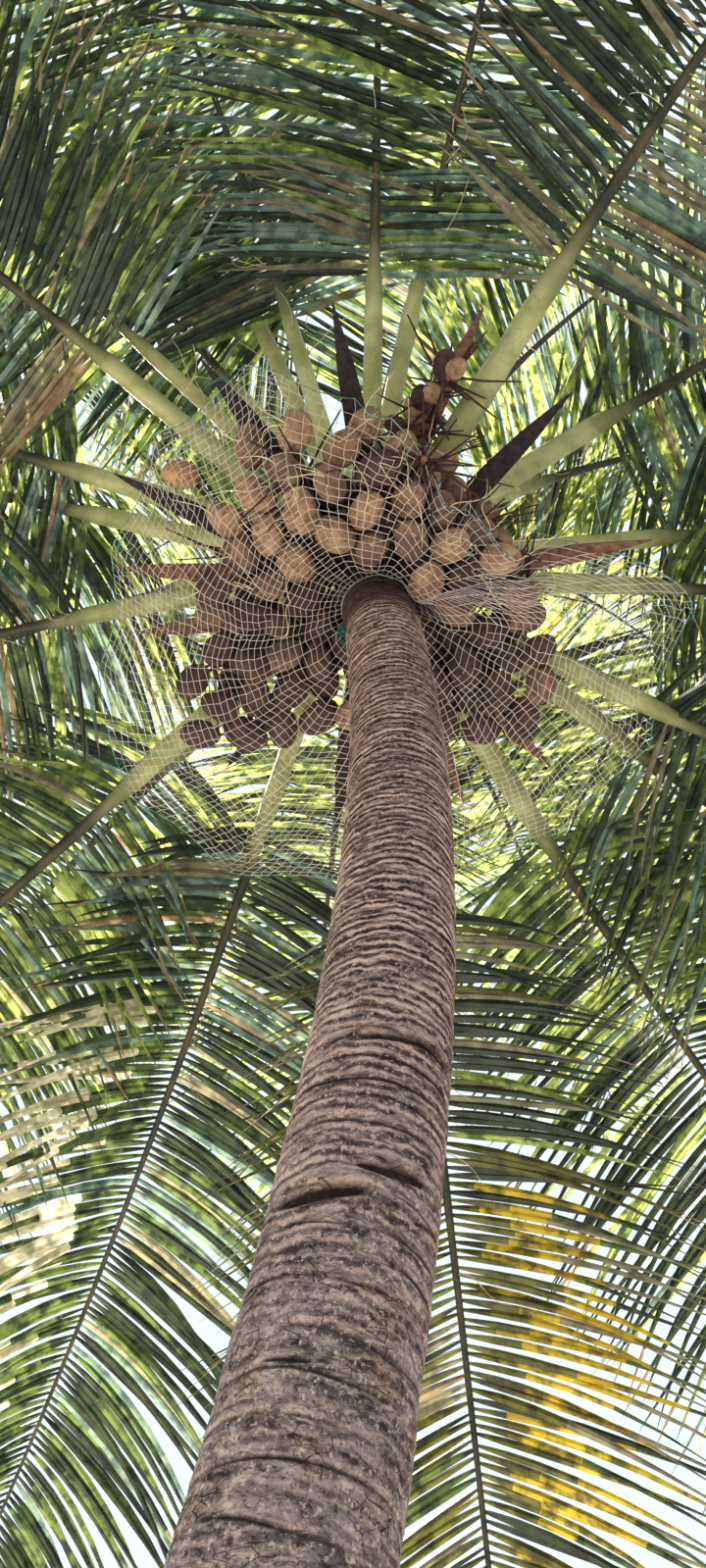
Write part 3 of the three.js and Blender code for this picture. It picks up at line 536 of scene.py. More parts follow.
def bark_material():
    """Bark; its places are those of the trunk with its lean taken out."""
    s = Shader("bark")
    s.place = s.attribute("straight", "Vector")
    height = s.node("SeparateXYZ", {0: s.place}, "Z")
    high = s.rise(height, 2.9, 4.6)
    patches = s.noise(5.5, 4.0, 0.6, 1.7)
    blotches = s.noise(9.0, 5.0, 0.72, 2.0, 0.4)
    mottle = s.noise(19.0, 6.0, 0.78, 1.8, 1.1)
    fibres = s.noise(15.0, 4.0, 0.66, 7.0, 0.8)
    specks = s.noise(150.0, 4.0, 0.72)
    flecks = s.noise(88.0, 4.0, 0.75)
    broken = s.noise(10.0, 3.0, 0.6, 4.0)
    lines = s.bands(0.03, 9.0)
    threads = s.bands(0.017, 12.0)
    lower = s.mix(s.rise(patches, 0.42, 0.6), (156, 135, 134), (97, 82, 86))
    lower = s.mix(s.rise(s.noise(6.0), 0.56, 0.7), lower, (150, 116, 90))
    upper = s.mix(s.rise(patches, 0.4, 0.6), (184, 138, 116), (122, 84, 70))
    s.colour = s.mix(high, lower, upper)
    s.paint((62, 52, 56), s.rise(blotches, 0.54, 0.62, 0.0, 0.8))
    s.paint((216, 188, 174), s.rise(mottle, 0.53, 0.6, 0.0, 0.8))
    s.paint((48, 34, 32), s.rise(mottle, 0.47, 0.4, 0.0, 0.88))
    s.paint((44, 26, 22), high, s.rise(fibres, 0.5, 0.43, 0.0, 0.9))
    # Pale lines along the rings and dark lines between them: a painted highlight on small ridges and painted
    # shadow under them.
    pale = s.times(s.rise(lines, 0.56, 0.82), s.rise(broken, 0.42, 0.58, 0.2, 1.0))
    s.paint((232, 196, 174), pale, s.rise(height, 2.6, 3.9, 0.35, 1.0))
    dark = s.times(s.rise(lines, 0.36, 0.17), s.rise(broken, 0.38, 0.5, 0.35, 1.0))
    s.paint((34, 20, 18), dark, s.rise(height, 2.6, 3.9, 0.3, 0.95))
    thin = s.times(s.rise(threads, 0.16, 0.03), s.rise(broken, 0.62, 0.5))
    s.paint((48, 30, 28), thin, s.rise(height, 2.8, 4.2, 0.2, 0.85))
    s.paint((230, 202, 184), s.rise(flecks, 0.56, 0.63, 0.0, 0.85))
    s.paint((38, 27, 25), s.rise(specks, 0.45, 0.37, 0.0, 0.85))
    # Painted highlight on the lips of the ring scars and notches, streaked with the fibres.
    s.paint((214, 186, 170), s.attribute("lip_highlight"), s.rise(fibres, 0.4, 0.6, 0.0, 0.7))
    cracks = s.times(s.rise(s.cell_edges(19.0, 1.9), 0.02, 0.006), s.rise(s.noise(12.0, 2.0), 0.5, 0.58))
    cracks = s.times(cracks, s.rise(height, 3.6, 3.0, 0.0, 0.85))
    s.paint((34, 24, 22), cracks)
    # Painted shade in the ring scars' cracks and in the notches.
    s.paint((28, 18, 16), s.rise(s.attribute("crack_shade"), 0.2, 0.75, 0.0, 0.95))
    s.paint((46, 28, 30), s.rise(height, 5.74, 5.84), s.rise(mottle, 0.3, 0.7, 0.7, 0.96))
    weights = ((mottle, 0.8), (specks, 0.3), (fibres, 0.4), (lines, 0.35), (cracks, -0.5))
    relief = s.total(*[s.times(value, weight) for value, weight in weights])
    return s.finish(s.rise(specks, 0.3, 0.7, 0.78, 0.95), s.bump(relief, 1.0, 0.009), 0.2)


def leaf_material(name, shade, lit, dark, share):
    s = Shader(name)
    streak = s.rise(s.noise(14.0), 0.4, 0.58)
    fine = s.noise(120.0, 2.0)
    s.colour = s.mix(streak, dark, shade)
    # Flecks of the colour with light through it, painted into the surface colour: painted light.
    s.paint(lit, s.rise(fine, 0.55, 0.75, 0.0, 0.35))
    through = s.mix(streak, shade if share < 0.4 else dark, lit)
    return s.finish(0.42, s.bump(fine, 0.15, 0.001), 0.45, through, share)


def rib_material():
    s = Shader("frond_rib")
    along = s.attribute("along")
    patch = s.rise(s.noise(7.0, 4.0), 0.4, 0.6)
    fine = s.noise(60.0)
    pale = s.mix(patch, (150, 152, 92), (186, 184, 128))
    # Beyond the stalk the rib turns dark olive: partly its own colour, partly painted shade under the
    # leaflets.
    olive = s.mix(patch, (42, 44, 28), (76, 68, 44))
    s.colour = s.mix(s.rise(along, 0.2, 0.27), pale, olive)
    s.paint((120, 104, 66), s.rise(fine, 0.58, 0.72, 0.0, 0.5))
    s.paint((120, 92, 58), s.rise(along, 0.05, 0.0))
    return s.finish(s.rise(fine, 0.3, 0.7, 0.4, 0.6), s.bump(fine, 0.3, 0.003), 0.4)


def husk_material(name, light, middle, dark):
    s = Shader(name)
    fibres = s.noise(48.0, 5.0, 0.68, 1, 0.6)
    fine = s.noise(240.0)
    s.colour = s.mix(s.rise(s.noise(11.0), 0.4, 0.6), middle, light)
    s.paint(dark, s.rise(fibres, 0.52, 0.64, 0.0, 0.75))
    s.paint(dark, s.rise(fine, 0.6, 0.75, 0.0, 0.4))
    relief = s.total(fibres, s.times(fine, 0.4))
    return s.finish(s.rise(fine, 0.3, 0.7, 0.7, 0.9), s.bump(relief, 0.6, 0.004), 0.25)


def fibre_material(name, light, dark, scale):
    s = Shader(name)
    grain = s.noise(scale, 4.0, 0.6)
    s.colour = s.mix(s.rise(grain, 0.35, 0.65), dark, light)
    return s.finish(s.rise(grain, 0.3, 0.7, 0.75, 0.85), s.bump(grain, 0.5, 0.002), 0.2)


# Trunk


def trunk_middle(height):
    height = np.asarray(height, dtype=float)
    x = TRUNK_LEAN * np.sin(np.pi / 2 * height / TRUNK_LEAN_HEIGHT)
    return np.stack([x, 0 * x, height], axis=-1)


def trunk_radius(height):
    height = np.asarray(height, dtype=float)
    swelling = FOOT_SWELLING * np.exp(-height / FOOT_SWELLING_HEIGHT)
    below = lerp(TRUNK_FOOT_RADIUS, TRUNK_NECK_RADIUS, height / TRUNK_NECK_HEIGHT)
    share = np.clip((height - TRUNK_NECK_HEIGHT) / (TRUNK_TOP - TRUNK_NECK_HEIGHT), 0, 1)
    above = lerp(TRUNK_NECK_RADIUS, TRUNK_TOP_RADIUS, share ** 3)
    return np.where(height < TRUNK_NECK_HEIGHT, below, above) + swelling


def trunk_tilt(height):
    slope = TRUNK_LEAN * (np.pi / 2 / TRUNK_LEAN_HEIGHT) * np.cos(np.pi / 2 * height / TRUNK_LEAN_HEIGHT)
    nearest_end = np.minimum(height, TRUNK_TOP - height)
    return np.arctan(slope) * np.clip(nearest_end / END_LEVEL_SPAN, 0, 1)


def beside_trunk(height, azimuth, gap):
    """A point at a gap from the trunk's surface."""
    return trunk_middle(height) + direction(azimuth, 0) * (trunk_radius(height) + gap)


def ripple(rng, azimuth, waves, amplitude):
    """A smooth random curve round the trunk."""
    total = np.zeros_like(azimuth)
    for wave in range(1, waves + 1):
        total += rng.normal() / wave ** 0.7 * np.sin(wave * azimuth + rng.uniform(0, 2 * math.pi))
    return total * amplitude / math.sqrt(waves)


NET_MIDDLE = trunk_middle(NET_TIE_HEIGHT)


def trunk_rows(rng, azimuth):
    """Rows of heights, offsets from the plain trunk, masks for painted shade in the cracks and a painted
    highlight on the lips, from ring scar to ring scar.
    """
    scars = [0.0]
    while scars[-1] < TRUNK_TOP:
        spacing = lerp(SCAR_SPACING_FOOT, SCAR_SPACING_TOP, scars[-1] / TRUNK_TOP)
        scars.append(scars[-1] + spacing * rng.uniform(0.72, 1.3))
    scars = np.array(scars[:-1])
    scars *= TRUNK_TOP / scars[-1]
    wobble = np.array([ripple(rng, azimuth, 5, 0.012) for _ in scars])
    wobble *= np.clip(np.minimum(scars, TRUNK_TOP - scars) / 0.4, 0, 1)[:, None]
    depth = np.array([np.clip(0.55 + ripple(rng, azimuth, 6, 0.42), 0.05, 1.1) for _ in scars])
    bulge = np.array([ripple(rng, azimuth, 3, 0.0026) for _ in scars])
    rows = []
    for k in range(len(scars) - 1):
        spacing = scars[k + 1] - scars[k]
        for share in SCAR_ROWS:
            strength = depth[k] if share < 0.5 else depth[k + 1]
            crack = math.exp(-(min(share, 1 - share) * spacing / CRACK_HALF_HEIGHT) ** 2)
            lip = math.exp(-((share * spacing - LIP_PLACE) / LIP_HALF_HEIGHT) ** 2)
            swell = math.sin(math.pi * share ** 0.7)
            offset = -CRACK_DEPTH * crack * strength + LIP_DEPTH * lip * strength + SWELL_DEPTH * swell
            offset = offset + lerp(bulge[k], bulge[k + 1], share)
            height = lerp(scars[k] + wobble[k], scars[k + 1] + wobble[k + 1], share)
            held = np.clip(strength, 0, 1)
            rows.append((height, offset, crack * held, lip * held))
    rows.append((np.full(TRUNK_SIDES, TRUNK_TOP), 0 * azimuth, 0 * azimuth, 0 * azimuth))
    return np.moveaxis(np.array(rows), 1, 0)


def trunk_piece():
    azimuth = turns(TRUNK_SIDES)
    heights, offsets, crack_shade, lip_highlight = trunk_rows(np.random.RandomState(11), azimuth)
    for at, middle, span, half_height, deep in NOTCHES:
        off = (np.degrees(azimuth) - middle + 180) % 360 - 180
        share = np.clip(1 - (off / span) ** 2, 0, 1)
        bend = 0.012 * np.sin(np.radians(off * 3.0 + at * 100))
        reach = half_height * np.sqrt(share) + 1e-4
        bite = np.exp(-((heights - at - bend) / reach) ** 2) * np.minimum(1, share * 3)
        lip = np.exp(-((heights - at - bend - 2.2 * reach) / reach) ** 2) * np.minimum(1, share * 3)
        offsets -= deep * bite
        offsets += 0.35 * deep * lip
        # Painted shade in the notches' bites and a painted highlight on their lips.
        crack_shade = np.maximum(crack_shade, bite)
        lip_highlight = np.maximum(lip_highlight, 0.8 * lip)
    offsets[0] = 0
    heights[0] = 0
    offsets *= np.clip((TRUNK_TOP - heights) / 0.5, 0, 1)
    tilt = trunk_tilt(heights)
    radius = trunk_radius(heights) + offsets
    across, aside = radius * np.cos(azimuth), radius * np.sin(azimuth)
    points = trunk_middle(heights)
    points[..., 0] += across * np.cos(tilt)
    points[..., 1] += aside
    points[..., 2] -= across * np.sin(tilt)
    points[0, :, 2] = 0
    build = Build()
    build.add_rings(points)
    made = build.piece("trunk_bark", bark_material(), "trunk_wood", ["trunk"])
    add_layer(made, "crack_shade", crack_shade)
    add_layer(made, "lip_highlight", lip_highlight)
    add_layer(made, "straight", np.stack([across, aside, heights], axis=-1))


# Fronds


class Frond:
    """One frond's arc and the frames along it."""

    def __init__(self, index, azimuth, foot, rise, tip, length, girth=0.88, sweep=0):
        self.index = index
        self.length = length
        self.girth = girth
        numbers = random_from(index + 1)
        self.roll = math.radians(lerp(-ROLL_SPREAD, ROLL_SPREAD, next(numbers)))
        steepness = (rise - LIFT_LOW[0]) / (LIFT_HIGH[0] - LIFT_LOW[0])
        lift = lerp(LIFT_LOW[1], LIFT_HIGH[1], steepness) + lerp(-LIFT_SPREAD, LIFT_SPREAD, next(numbers))
        self.lift = math.radians(lift)
        self.size = min(1, length / FULL_LENGTH)
        eased = (np.arange(ARC_STEPS + 1) / ARC_STEPS) ** 2
        self.headings = direction(azimuth + sweep * eased, lerp(rise, tip, eased))
        self.points = walk(beside_trunk(foot, azimuth, -RIB_SUNK), self.headings[:-1] * length / ARC_STEPS)

    def at(self, shares):
        """Points of the arc and, at each, its heading, left and upper side."""
        steps = np.clip(np.asarray(shares) * ARC_STEPS, 0, ARC_STEPS - 1e-6)
        low = np.floor(steps).astype(int)
        part = (steps - low)[:, None]
        point = lerp(self.points[low], self.points[low + 1], part)
        heading = unit(lerp(self.headings[low], self.headings[low + 1], part))
        left = unit(np.cross(UP, heading))
        upper = np.cross(heading, left)
        cos, sin = math.cos(self.roll), math.sin(self.roll)
        return point, heading, left * cos + upper * sin, upper * cos - left * sin


def rib_width(frond, shares):
    widths = [RIB_FOOT_WIDTH, RIB_BASE_WIDTH, RIB_STALK_WIDTH]
    stalk = np.interp(shares, [0, RIB_BASE_SHARE, STALK_SHARE], widths)
    beyond = np.clip((shares - STALK_SHARE) / (1 - STALK_SHARE), 0, 1)
    outer = lerp(RIB_STALK_WIDTH * frond.girth, RIB_TIP_WIDTH, beyond ** RIB_TAPER_POWER)
    return np.where(shares < STALK_SHARE, stalk * frond.girth, outer)


def leaflet_reach(place):
    return LEAFLET_LENGTH * (0.55 + 0.45 * np.sin(np.pi * place ** 0.8) - 0.25 * place ** 4)


def rib_piece(fronds, nodes):
    build = Build()
    along = []
    shares = np.linspace(0, 1, RIB_RINGS) ** 0.9
    outline = np.array(RIB_SIDES)
    for frond in fronds:
        point, _, left, upper = frond.at(shares)
        width = rib_width(frond, shares)[:, None, None]
        uneven = 1 + 0.03 * np.random.RandomState(500 + frond.index).normal(size=(len(shares), 1, 1))
        sideways = left[:, None] * outline[:, :1] * (width / 2)
        upwards = upper[:, None] * outline[:, 1:] * (width * RIB_DEPTH_SHARE)
        build.add_rings(point[:, None] + (sideways + upwards) * uneven)
        along.append(np.repeat(shares, len(outline)))
    made = build.piece("frond_ribs", rib_material(), "frond_green", nodes)
    add_layer(made, "along", np.concatenate(along))


def leaflet_shapes(frond, side, rng, spray, share, place):
    """Left edges, midribs twice, and right edges of the leaflets on one side of a frond."""
    pairs = (len(share), 1, 1)
    sprays = (spray.max() + 1, 1, 1)
    place = place[:, None, None]
    point, heading, left, upper = (values[:, None] for values in frond.at(share))
    forward = lerp(LEAFLET_ANGLE_FOOT, LEAFLET_ANGLE_TIP, place ** 2.2)
    forward = np.radians(forward + rng.normal(0, 1.2, sprays)[spray] + rng.normal(0, 1.6, pairs))
    in_clump = (np.arange(len(share)) % CLUMP - (CLUMP - 1) / 2)[:, None, None]
    wander = 0.1 * rng.normal(size=pairs) + np.sin(np.pi * in_clump / CLUMP) * CLUMP_TURN
    lift = frond.lift + np.radians(rng.normal(0, 2.5, sprays)[spray] + rng.normal(0, 3.0, pairs))
    out = side * left * np.cos(lift) + upper * np.sin(lift)
    along = unit(heading * np.cos(forward) + out * np.sin(forward))
    length = leaflet_reach(place) * frond.size * rng.uniform(0.86, 1.02, pairs)
    droop = LEAFLET_DROOP * 2 * rng.uniform(0.5, 1.7, pairs) * (1 + 0.9 * place ** 2)
    droop *= np.hypot(heading[..., :1], heading[..., 1:2])
    root = point + (out * 0.43 + upper * 0.3 * RIB_DEPTH_SHARE) * rib_width(frond, share)[:, None, None]
    stations = BLADE_STATIONS[:, None]
    bent = unit(along - UP * droop * stations + heading * wander * stations ** 2)
    moves = (bent[:, :-1] + bent[:, 1:]) / 2 * (np.diff(stations, axis=0) * length)
    path = root + np.concatenate([0 * root, np.cumsum(moves, axis=1)], axis=1)
    breadth = unit(heading - bent * np.sum(heading * bent, axis=-1, keepdims=True))
    normal = np.cross(breadth, bent) * -side
    twist = np.radians(rng.normal(24, 12, pairs)) + np.radians(rng.normal(6, 18, pairs)) * stations
    across = breadth * np.cos(twist) + normal * np.sin(twist)
    facing = normal * np.cos(twist) - breadth * np.sin(twist)
    fold = np.radians(lerp(FOLD_FOOT, FOLD_TIP, np.minimum(1, stations * 2)))
    half = LEAFLET_HALF_WIDTH * (1 - 0.45 * place ** 2) * BLADE_WIDTHS[:, None]
    half = half * rng.uniform(0.85, 1.12, pairs)
    half = half * lerp(*FROND_BREADTHS.get(frond.index + 1, (1, 1)), stations)
    fall = facing * half * np.sin(fold)
    near = path - across * half * np.cos(fold) - fall
    far = path + across * half * np.cos(fold) - fall
    return np.stack([near, path, path, far], axis=2)


def leaflet_kinds(frond, side, rng, spray, place):
    """A kind for each leaflet on one side of a frond, dealt out by spray, by patches of painted shade and by
    stretch.
    """
    pairs = len(place)
    table = KIND_SHARES.get(frond.index + 1, KIND_SHARES[0])
    chances = np.array([table.get(name, 0) for name in LEAF_KINDS])
    chances = chances / chances.sum()
    picked = rng.choice(len(chances), size=spray.max() + 1, p=chances)[spray]
    alone = rng.uniform(size=pairs) < 0.5
    picked = np.where(alone, rng.choice(len(chances), size=pairs, p=chances), picked)
    # Patches along the frond where deep leaflets take the shade kind: painted shade.
    drift = 0
    for wave in (1, 2, 3):
        drift = drift + rng.normal() * np.sin(wave * 3.1 * place + rng.uniform(0, 2 * math.pi))
    shaded = (drift + rng.normal(0, 0.4, pairs) > 0.2) & (picked == KIND["deep"])
    picked = np.where(shaded, KIND["shade"], picked)
    for number_from_1, on_side, low, high, chance, name in COLOURED_STRETCHES:
        if frond.index + 1 == number_from_1 and side == on_side:
            coloured = (place > low) & (place < high) & (rng.uniform(size=pairs) < chance)
            picked = np.where(coloured, KIND[name], picked)
    return picked


def leaflets(frond):
    """All the leaflets of a frond, and their kinds."""
    rng = np.random.RandomState(900 + frond.index)
    pairs = int(frond.length * (1 - STALK_SHARE) / LEAFLET_PITCH)
    spray = np.arange(pairs) // SPRAY
    blades = []
    kinds = []
    for side, offset in ((1, 0.25), (-1, 0.75)):
        step = np.arange(pairs) + offset + rng.uniform(-0.15, 0.15, pairs)
        share = STALK_SHARE + (1 - STALK_SHARE) * step / pairs
        place = np.clip((share - STALK_SHARE) / (1 - STALK_SHARE), 0, 1)
        blades.append(leaflet_shapes(frond, side, rng, spray, share, place))
        kinds.append(leaflet_kinds(frond, side, rng, spray, place))
    return np.concatenate(blades), np.concatenate(kinds)


def segment_kinds(frond, kinds):
    """Each blade's kind from station to station: feet darkened with painted shade, dry tips, and gold and
    cream of painted sunlight that fade out.
    """
    rng = np.random.RandomState(1300 + frond.index)
    count = len(kinds)
    segment = np.arange(len(BLADE_STATIONS) - 1)[None, :]
    shown = np.repeat(kinds[:, None], len(BLADE_STATIONS) - 1, axis=1)
    dried = (rng.uniform(size=count) < 0.3)[:, None] & (segment >= 7)
    shown = np.where(dried & (shown != KIND["golden"]), KIND["dry"], shown)
    inner = rng.randint(2, 5, count)[:, None]
    outer = rng.randint(4, 7, count)[:, None]
    end = np.where(rng.uniform(size=count) < 0.6, KIND["dull"], KIND["deep"])[:, None]
    # Gold, painted sunlight through the leaflets, keeps to the middle of each blade: olive at the foot, dull
    # or deep at the end.
    golden = (kinds == KIND["golden"])[:, None]
    shown = np.where(golden & (segment < inner), KIND["olive"], shown)
    shown = np.where(golden & (segment >= outer), end, shown)
    # Cream, painted sunlight, keeps off the feet and is flecked with deep.
    flecked = (segment < inner + 1) | (rng.uniform(size=shown.shape) < 0.14)
    shown = np.where((kinds == KIND["pale"])[:, None] & flecked, KIND["deep"], shown)
    # Painted shade near the rib: the feet of half the blades take the shade kind where they are deep.
    shaded_feet = (rng.uniform(size=count) < 0.5)[:, None] & (segment < inner - 1)
    return np.where(shaded_feet & (shown == KIND["deep"]), KIND["shade"], shown)


def add_blades(build, blades, wanted):
    """The wanted segments of blades, each folded along its midrib."""
    count, stations = blades.shape[:2]
    blade = (np.arange(count) * stations * 4)[:, None, None]
    station = (np.arange(stations - 1) * 4)[None, :, None]
    first = blade + station + np.array([0, 2])
    quads = np.stack([first, first + 1, first + 5, first + 4], axis=-1)[wanted]
    used, numbers = np.unique(quads.reshape(-1), return_inverse=True)
    build.add(blades.reshape(-1, 3)[used], numbers.reshape(-1, 4))


def leaf_pieces(fronds, nodes_of):
    """All the leaflets, joined by kind; a blade may go from one kind to another on its way."""
    gathered = {name: Build() for name in LEAF_KINDS}
    nodes = {name: [] for name in LEAF_KINDS}
    for frond in fronds:
        blades, kinds = leaflets(frond)
        shown = segment_kinds(frond, kinds)
        for name, number in KIND.items():
            if (shown == number).any():
                add_blades(gathered[name], blades, shown == number)
                nodes[name] += nodes_of[frond.index]
    for name, (shade, lit, dark, share) in LEAF_KINDS.items():
        material = leaf_material("leaf_" + name, shade, lit, dark, share)
        gathered[name].piece("leaflets_" + name, material, "frond_green", nodes[name])


def spear_piece():
    """The youngest leaf: a pleated, slightly twisted spike."""
    shares = np.linspace(0, 1, 40)[:, None]
    radius = SPEAR_RADIUS * np.interp(shares, [0, 0.55, 0.9, 1], [1, 0.8, 0.35, 0.04])
    pleat = 1 - 0.14 * (np.arange(24) % 2)
    twisted = turns(24) + 0.5 * shares
    ring = np.stack([np.cos(twisted), np.sin(twisted), 0 * twisted], axis=-1)
    points = trunk_middle(TRUNK_TOP) + ring * (radius * pleat)[..., None]
    points[..., 2] += SPEAR_GAP + shares * (SPEAR_LENGTH - SPEAR_GAP)
    build = Build()
    build.add_rings(points)
    material = leaf_material("leaf_spear", (150, 164, 78), (214, 220, 120), (116, 130, 60), 0.1)
    build.piece("spear_leaf", material, "frond_green", ["spear"])


# Fruit


def stalk_path(bunch):
    azimuth, foot, rise, reach = bunch[:4]
    shares = np.arange(STALK_STEPS) / STALK_STEPS
    headings = direction(azimuth, lerp(rise, STALK_TIP, shares ** 1.5))
    return walk(beside_trunk(foot, azimuth, -RIB_SUNK), headings * reach / STALK_STEPS)


def along_path(path, share):
    place = share * (len(path) - 1)
    low = min(int(place), len(path) - 2)
    return lerp(path[low], path[low + 1], place - low), unit(path[low + 1] - path[low])


def net_nuts():
    """Centres, axes and sizes of the nuts over the net, spread by the golden angle in layers."""
    rng = np.random.RandomState(77)
    nuts = []
    for count, above, extent in NUT_LAYERS:
        for i in range(count):
            azimuth = (GOLDEN_ANGLE * i + 300 * above) % 360
            spread = float(round_table(NUT_SPREAD, azimuth)) * extent - 0.06
            reach = lerp(0.22, spread, math.sqrt((i + 0.5) / count))
            outwards = direction(azimuth, 0)
            centre = NET_MIDDLE + outwards * reach
            centre[2] = float(net_height(azimuth, reach)) + NUT_SPACING + above
            turned = np.cross(UP, outwards) * rng.normal(0, 0.8)
            axis = unit(outwards * 0.75 + turned + UP * rng.normal(-0.2, 0.25))
            nuts.append((centre, axis, rng.uniform(0.82, 1.02), above > 0))
    return nuts


def spread_nuts(centres, sizes):
    """Push nuts apart as far as they go, clear of the trunk and within their spread."""
    radii = NUT_SPACING * sizes
    floor = centres[:, 2].copy()
    for _ in range(80):
        gap = centres[:, None] - centres[None]
        distance = np.linalg.norm(gap, axis=-1) + 1e-9
        push = np.clip(radii[:, None] + radii[None] - distance, 0, None)
        np.fill_diagonal(push, 0)
        centres = centres + (gap / distance[..., None] * push[..., None]).sum(axis=1) * 0.3
        centres[:, 2] = np.clip(centres[:, 2], floor - 0.04, floor + 0.26)
        outwards = centres[:, :2] - trunk_middle(centres[:, 2])[:, :2]
        away = np.linalg.norm(outwards, axis=1)
        short = np.clip(trunk_radius(centres[:, 2]) + radii - away, 0, None)
        azimuth = np.degrees(np.arctan2(outwards[:, 1], outwards[:, 0]))
        beyond = np.clip(away - round_table(NUT_SPREAD, azimuth) + radii * 0.8, 0, None)
        centres[:, :2] += outwards / away[:, None] * (short - beyond)[:, None]
    return centres


def add_nut(build, centre, axis, size, turn):
    shares = np.linspace(0, 1, NUT_ALONG)
    height = -np.cos(shares * math.pi)
    girth = np.maximum(np.sin(shares * math.pi) ** 0.92, 0.02) * (1 - 0.06 * height)
    angle = turns(NUT_ROUND) + turn
    ridged = 1 + 0.045 * np.cos(3 * (angle - turn))
    ring = circles(*crosswise(axis), angle)
    middle = centre + axis * (height * NUT_HALF_LENGTH * size)[:, None, None]
    build.add_rings(middle + ring * (girth[:, None] * ridged)[..., None] * NUT_RADIUS * size)


def add_calyx(build, foot, axis, size, turn):
    """The three overlapping scales that hold a nut at its stalk."""
    shares = np.linspace(0, 1, 5)
    radius = np.interp(shares, [0, 0.4, 1], [0.012, 0.034, 0.04]) * size
    drop = np.interp(shares, [0, 0.4, 1], [-0.012, 0.002, 0.02]) * size
    angle = turns(12) + turn
    lobes = 1 + 0.16 * np.cos(3 * angle)
    ring = circles(*crosswise(axis), angle)
    points = foot + axis * drop[:, None, None] + ring * (radius[:, None] * lobes)[..., None]
    build.add(points, wall_faces(5, 12), cap_faces(5, 12)[:10])


def hang_nut(husk, calyxes, stalks, place, point, turn):
    """A nut with its calyx, on a short stem from a point of its bunch's stalk."""
    centre, axis, size = place
    add_nut(husk, centre, axis, size, turn)
    foot = centre - axis * NUT_HALF_LENGTH * size * 0.98
    add_calyx(calyxes, foot, axis, size, turn)
    tube(stalks, [point, (point + foot) / 2 + STEM_ARCH * UP, foot], [0.007, 0.006, 0.006], 6)


def fruit_pieces():
    husks = {name: Build() for name in HUSKS}
    calyxes, stalks, twigs = Build(), Build(), Build()
    rng = np.random.RandomState(78)
    paths = [stalk_path(bunch) for bunch in BUNCHES]
    hung = np.concatenate([path[4:] for path in paths[:-1]])
    places = net_nuts()
    centres = spread_nuts(np.array([place[0] for place in places]), np.array([place[2] for place in places]))
    for (_, axis, size, upper), centre in zip(places, centres):
        azimuth = math.degrees(math.atan2(centre[1] - NET_MIDDLE[1], centre[0] - NET_MIDDLE[0]))
        # The chance of a dark brown husk, painted shade: high on the far side of the trunk, where the nuts
        # lie in shade, low on the near side.
        shaded = 0.92 if 5 < azimuth < 178 else 0.5 if azimuth < -150 else 0.1
        kind = "nuts_brown_and_shade"
        if not upper and rng.uniform() >= shaded:
            kind = "nuts_umber" if rng.uniform() < 0.55 else "nuts_tan"
        point = hung[np.argmin(np.linalg.norm(hung - centre, axis=1))]
        hang_nut(husks[kind], calyxes, stalks, (centre, axis, size), point, rng.uniform(0, 2 * math.pi))
    for i, share in enumerate(np.linspace(0.4, 0.96, YOUNG_NUTS)):
        point, heading = along_path(paths[-1], share)
        axis = unit(heading + rng.normal(0, 0.8, 3) - 0.4 * UP)
        size = rng.uniform(0.55, 0.72)
        place = (point + axis * (NUT_HALF_LENGTH * size + 0.02), axis, size)
        husk = husks["nuts_brown_and_shade" if i % 2 else "nuts_tan"]
        hang_nut(husk, calyxes, stalks, place, point, rng.uniform(0, 2 * math.pi))
    stray = NET_MIDDLE + direction(STRAY_NUT[0], 0) * STRAY_NUT[1]
    stray[2] = float(net_height(*STRAY_NUT)) + 0.08
    point = hung[np.argmin(np.linalg.norm(hung - stray, axis=1))]
    place = (stray, unit(np.array([-0.8, -0.3, -0.4])), 0.8)
    hang_nut(husks["nut_orange"], calyxes, stalks, place, point, 0.4)
    for path in paths:
        tube(stalks, path, STALK_RADIUS * (1 - 0.45 * np.linspace(0, 1, len(path))), 10)
        for share in np.linspace(0.1, 0.98, TWIGS):
            point, _ = along_path(path, share)
            out = unit(rng.normal(0, 1, 3) * np.array([1, 1, 0.5]))
            reach = rng.uniform(0.1, 0.34)
            add_wisp(twigs, point, out * reach, rng.normal(0, 0.05, 3), 0.4, [0.007, 0.005, 0.003])
    for name, (material, *colours) in HUSKS.items():
        husks[name].piece(name, husk_material(material, *colours), "nut_husk", BUNCH_NODES)
    calyxes.piece("nut_calyx", fibre_material("calyx", (112, 84, 58), (70, 50, 38), 90.0), "nut_husk")
    wood = fibre_material("bunch_stalk", (146, 116, 78), (92, 70, 48), 60.0)
    stalks.piece("bunch_stalks", wood, "nut_husk", BUNCH_NODES)
    # The twigs' dark colour: partly their own dry brown, partly painted shade among the nuts.
    dry = fibre_material("bunch_twig", (86, 60, 50), (40, 28, 26), 60.0)
    twigs.piece("bunch_twigs", dry, "nut_husk", BUNCH_NODES)
    return centres


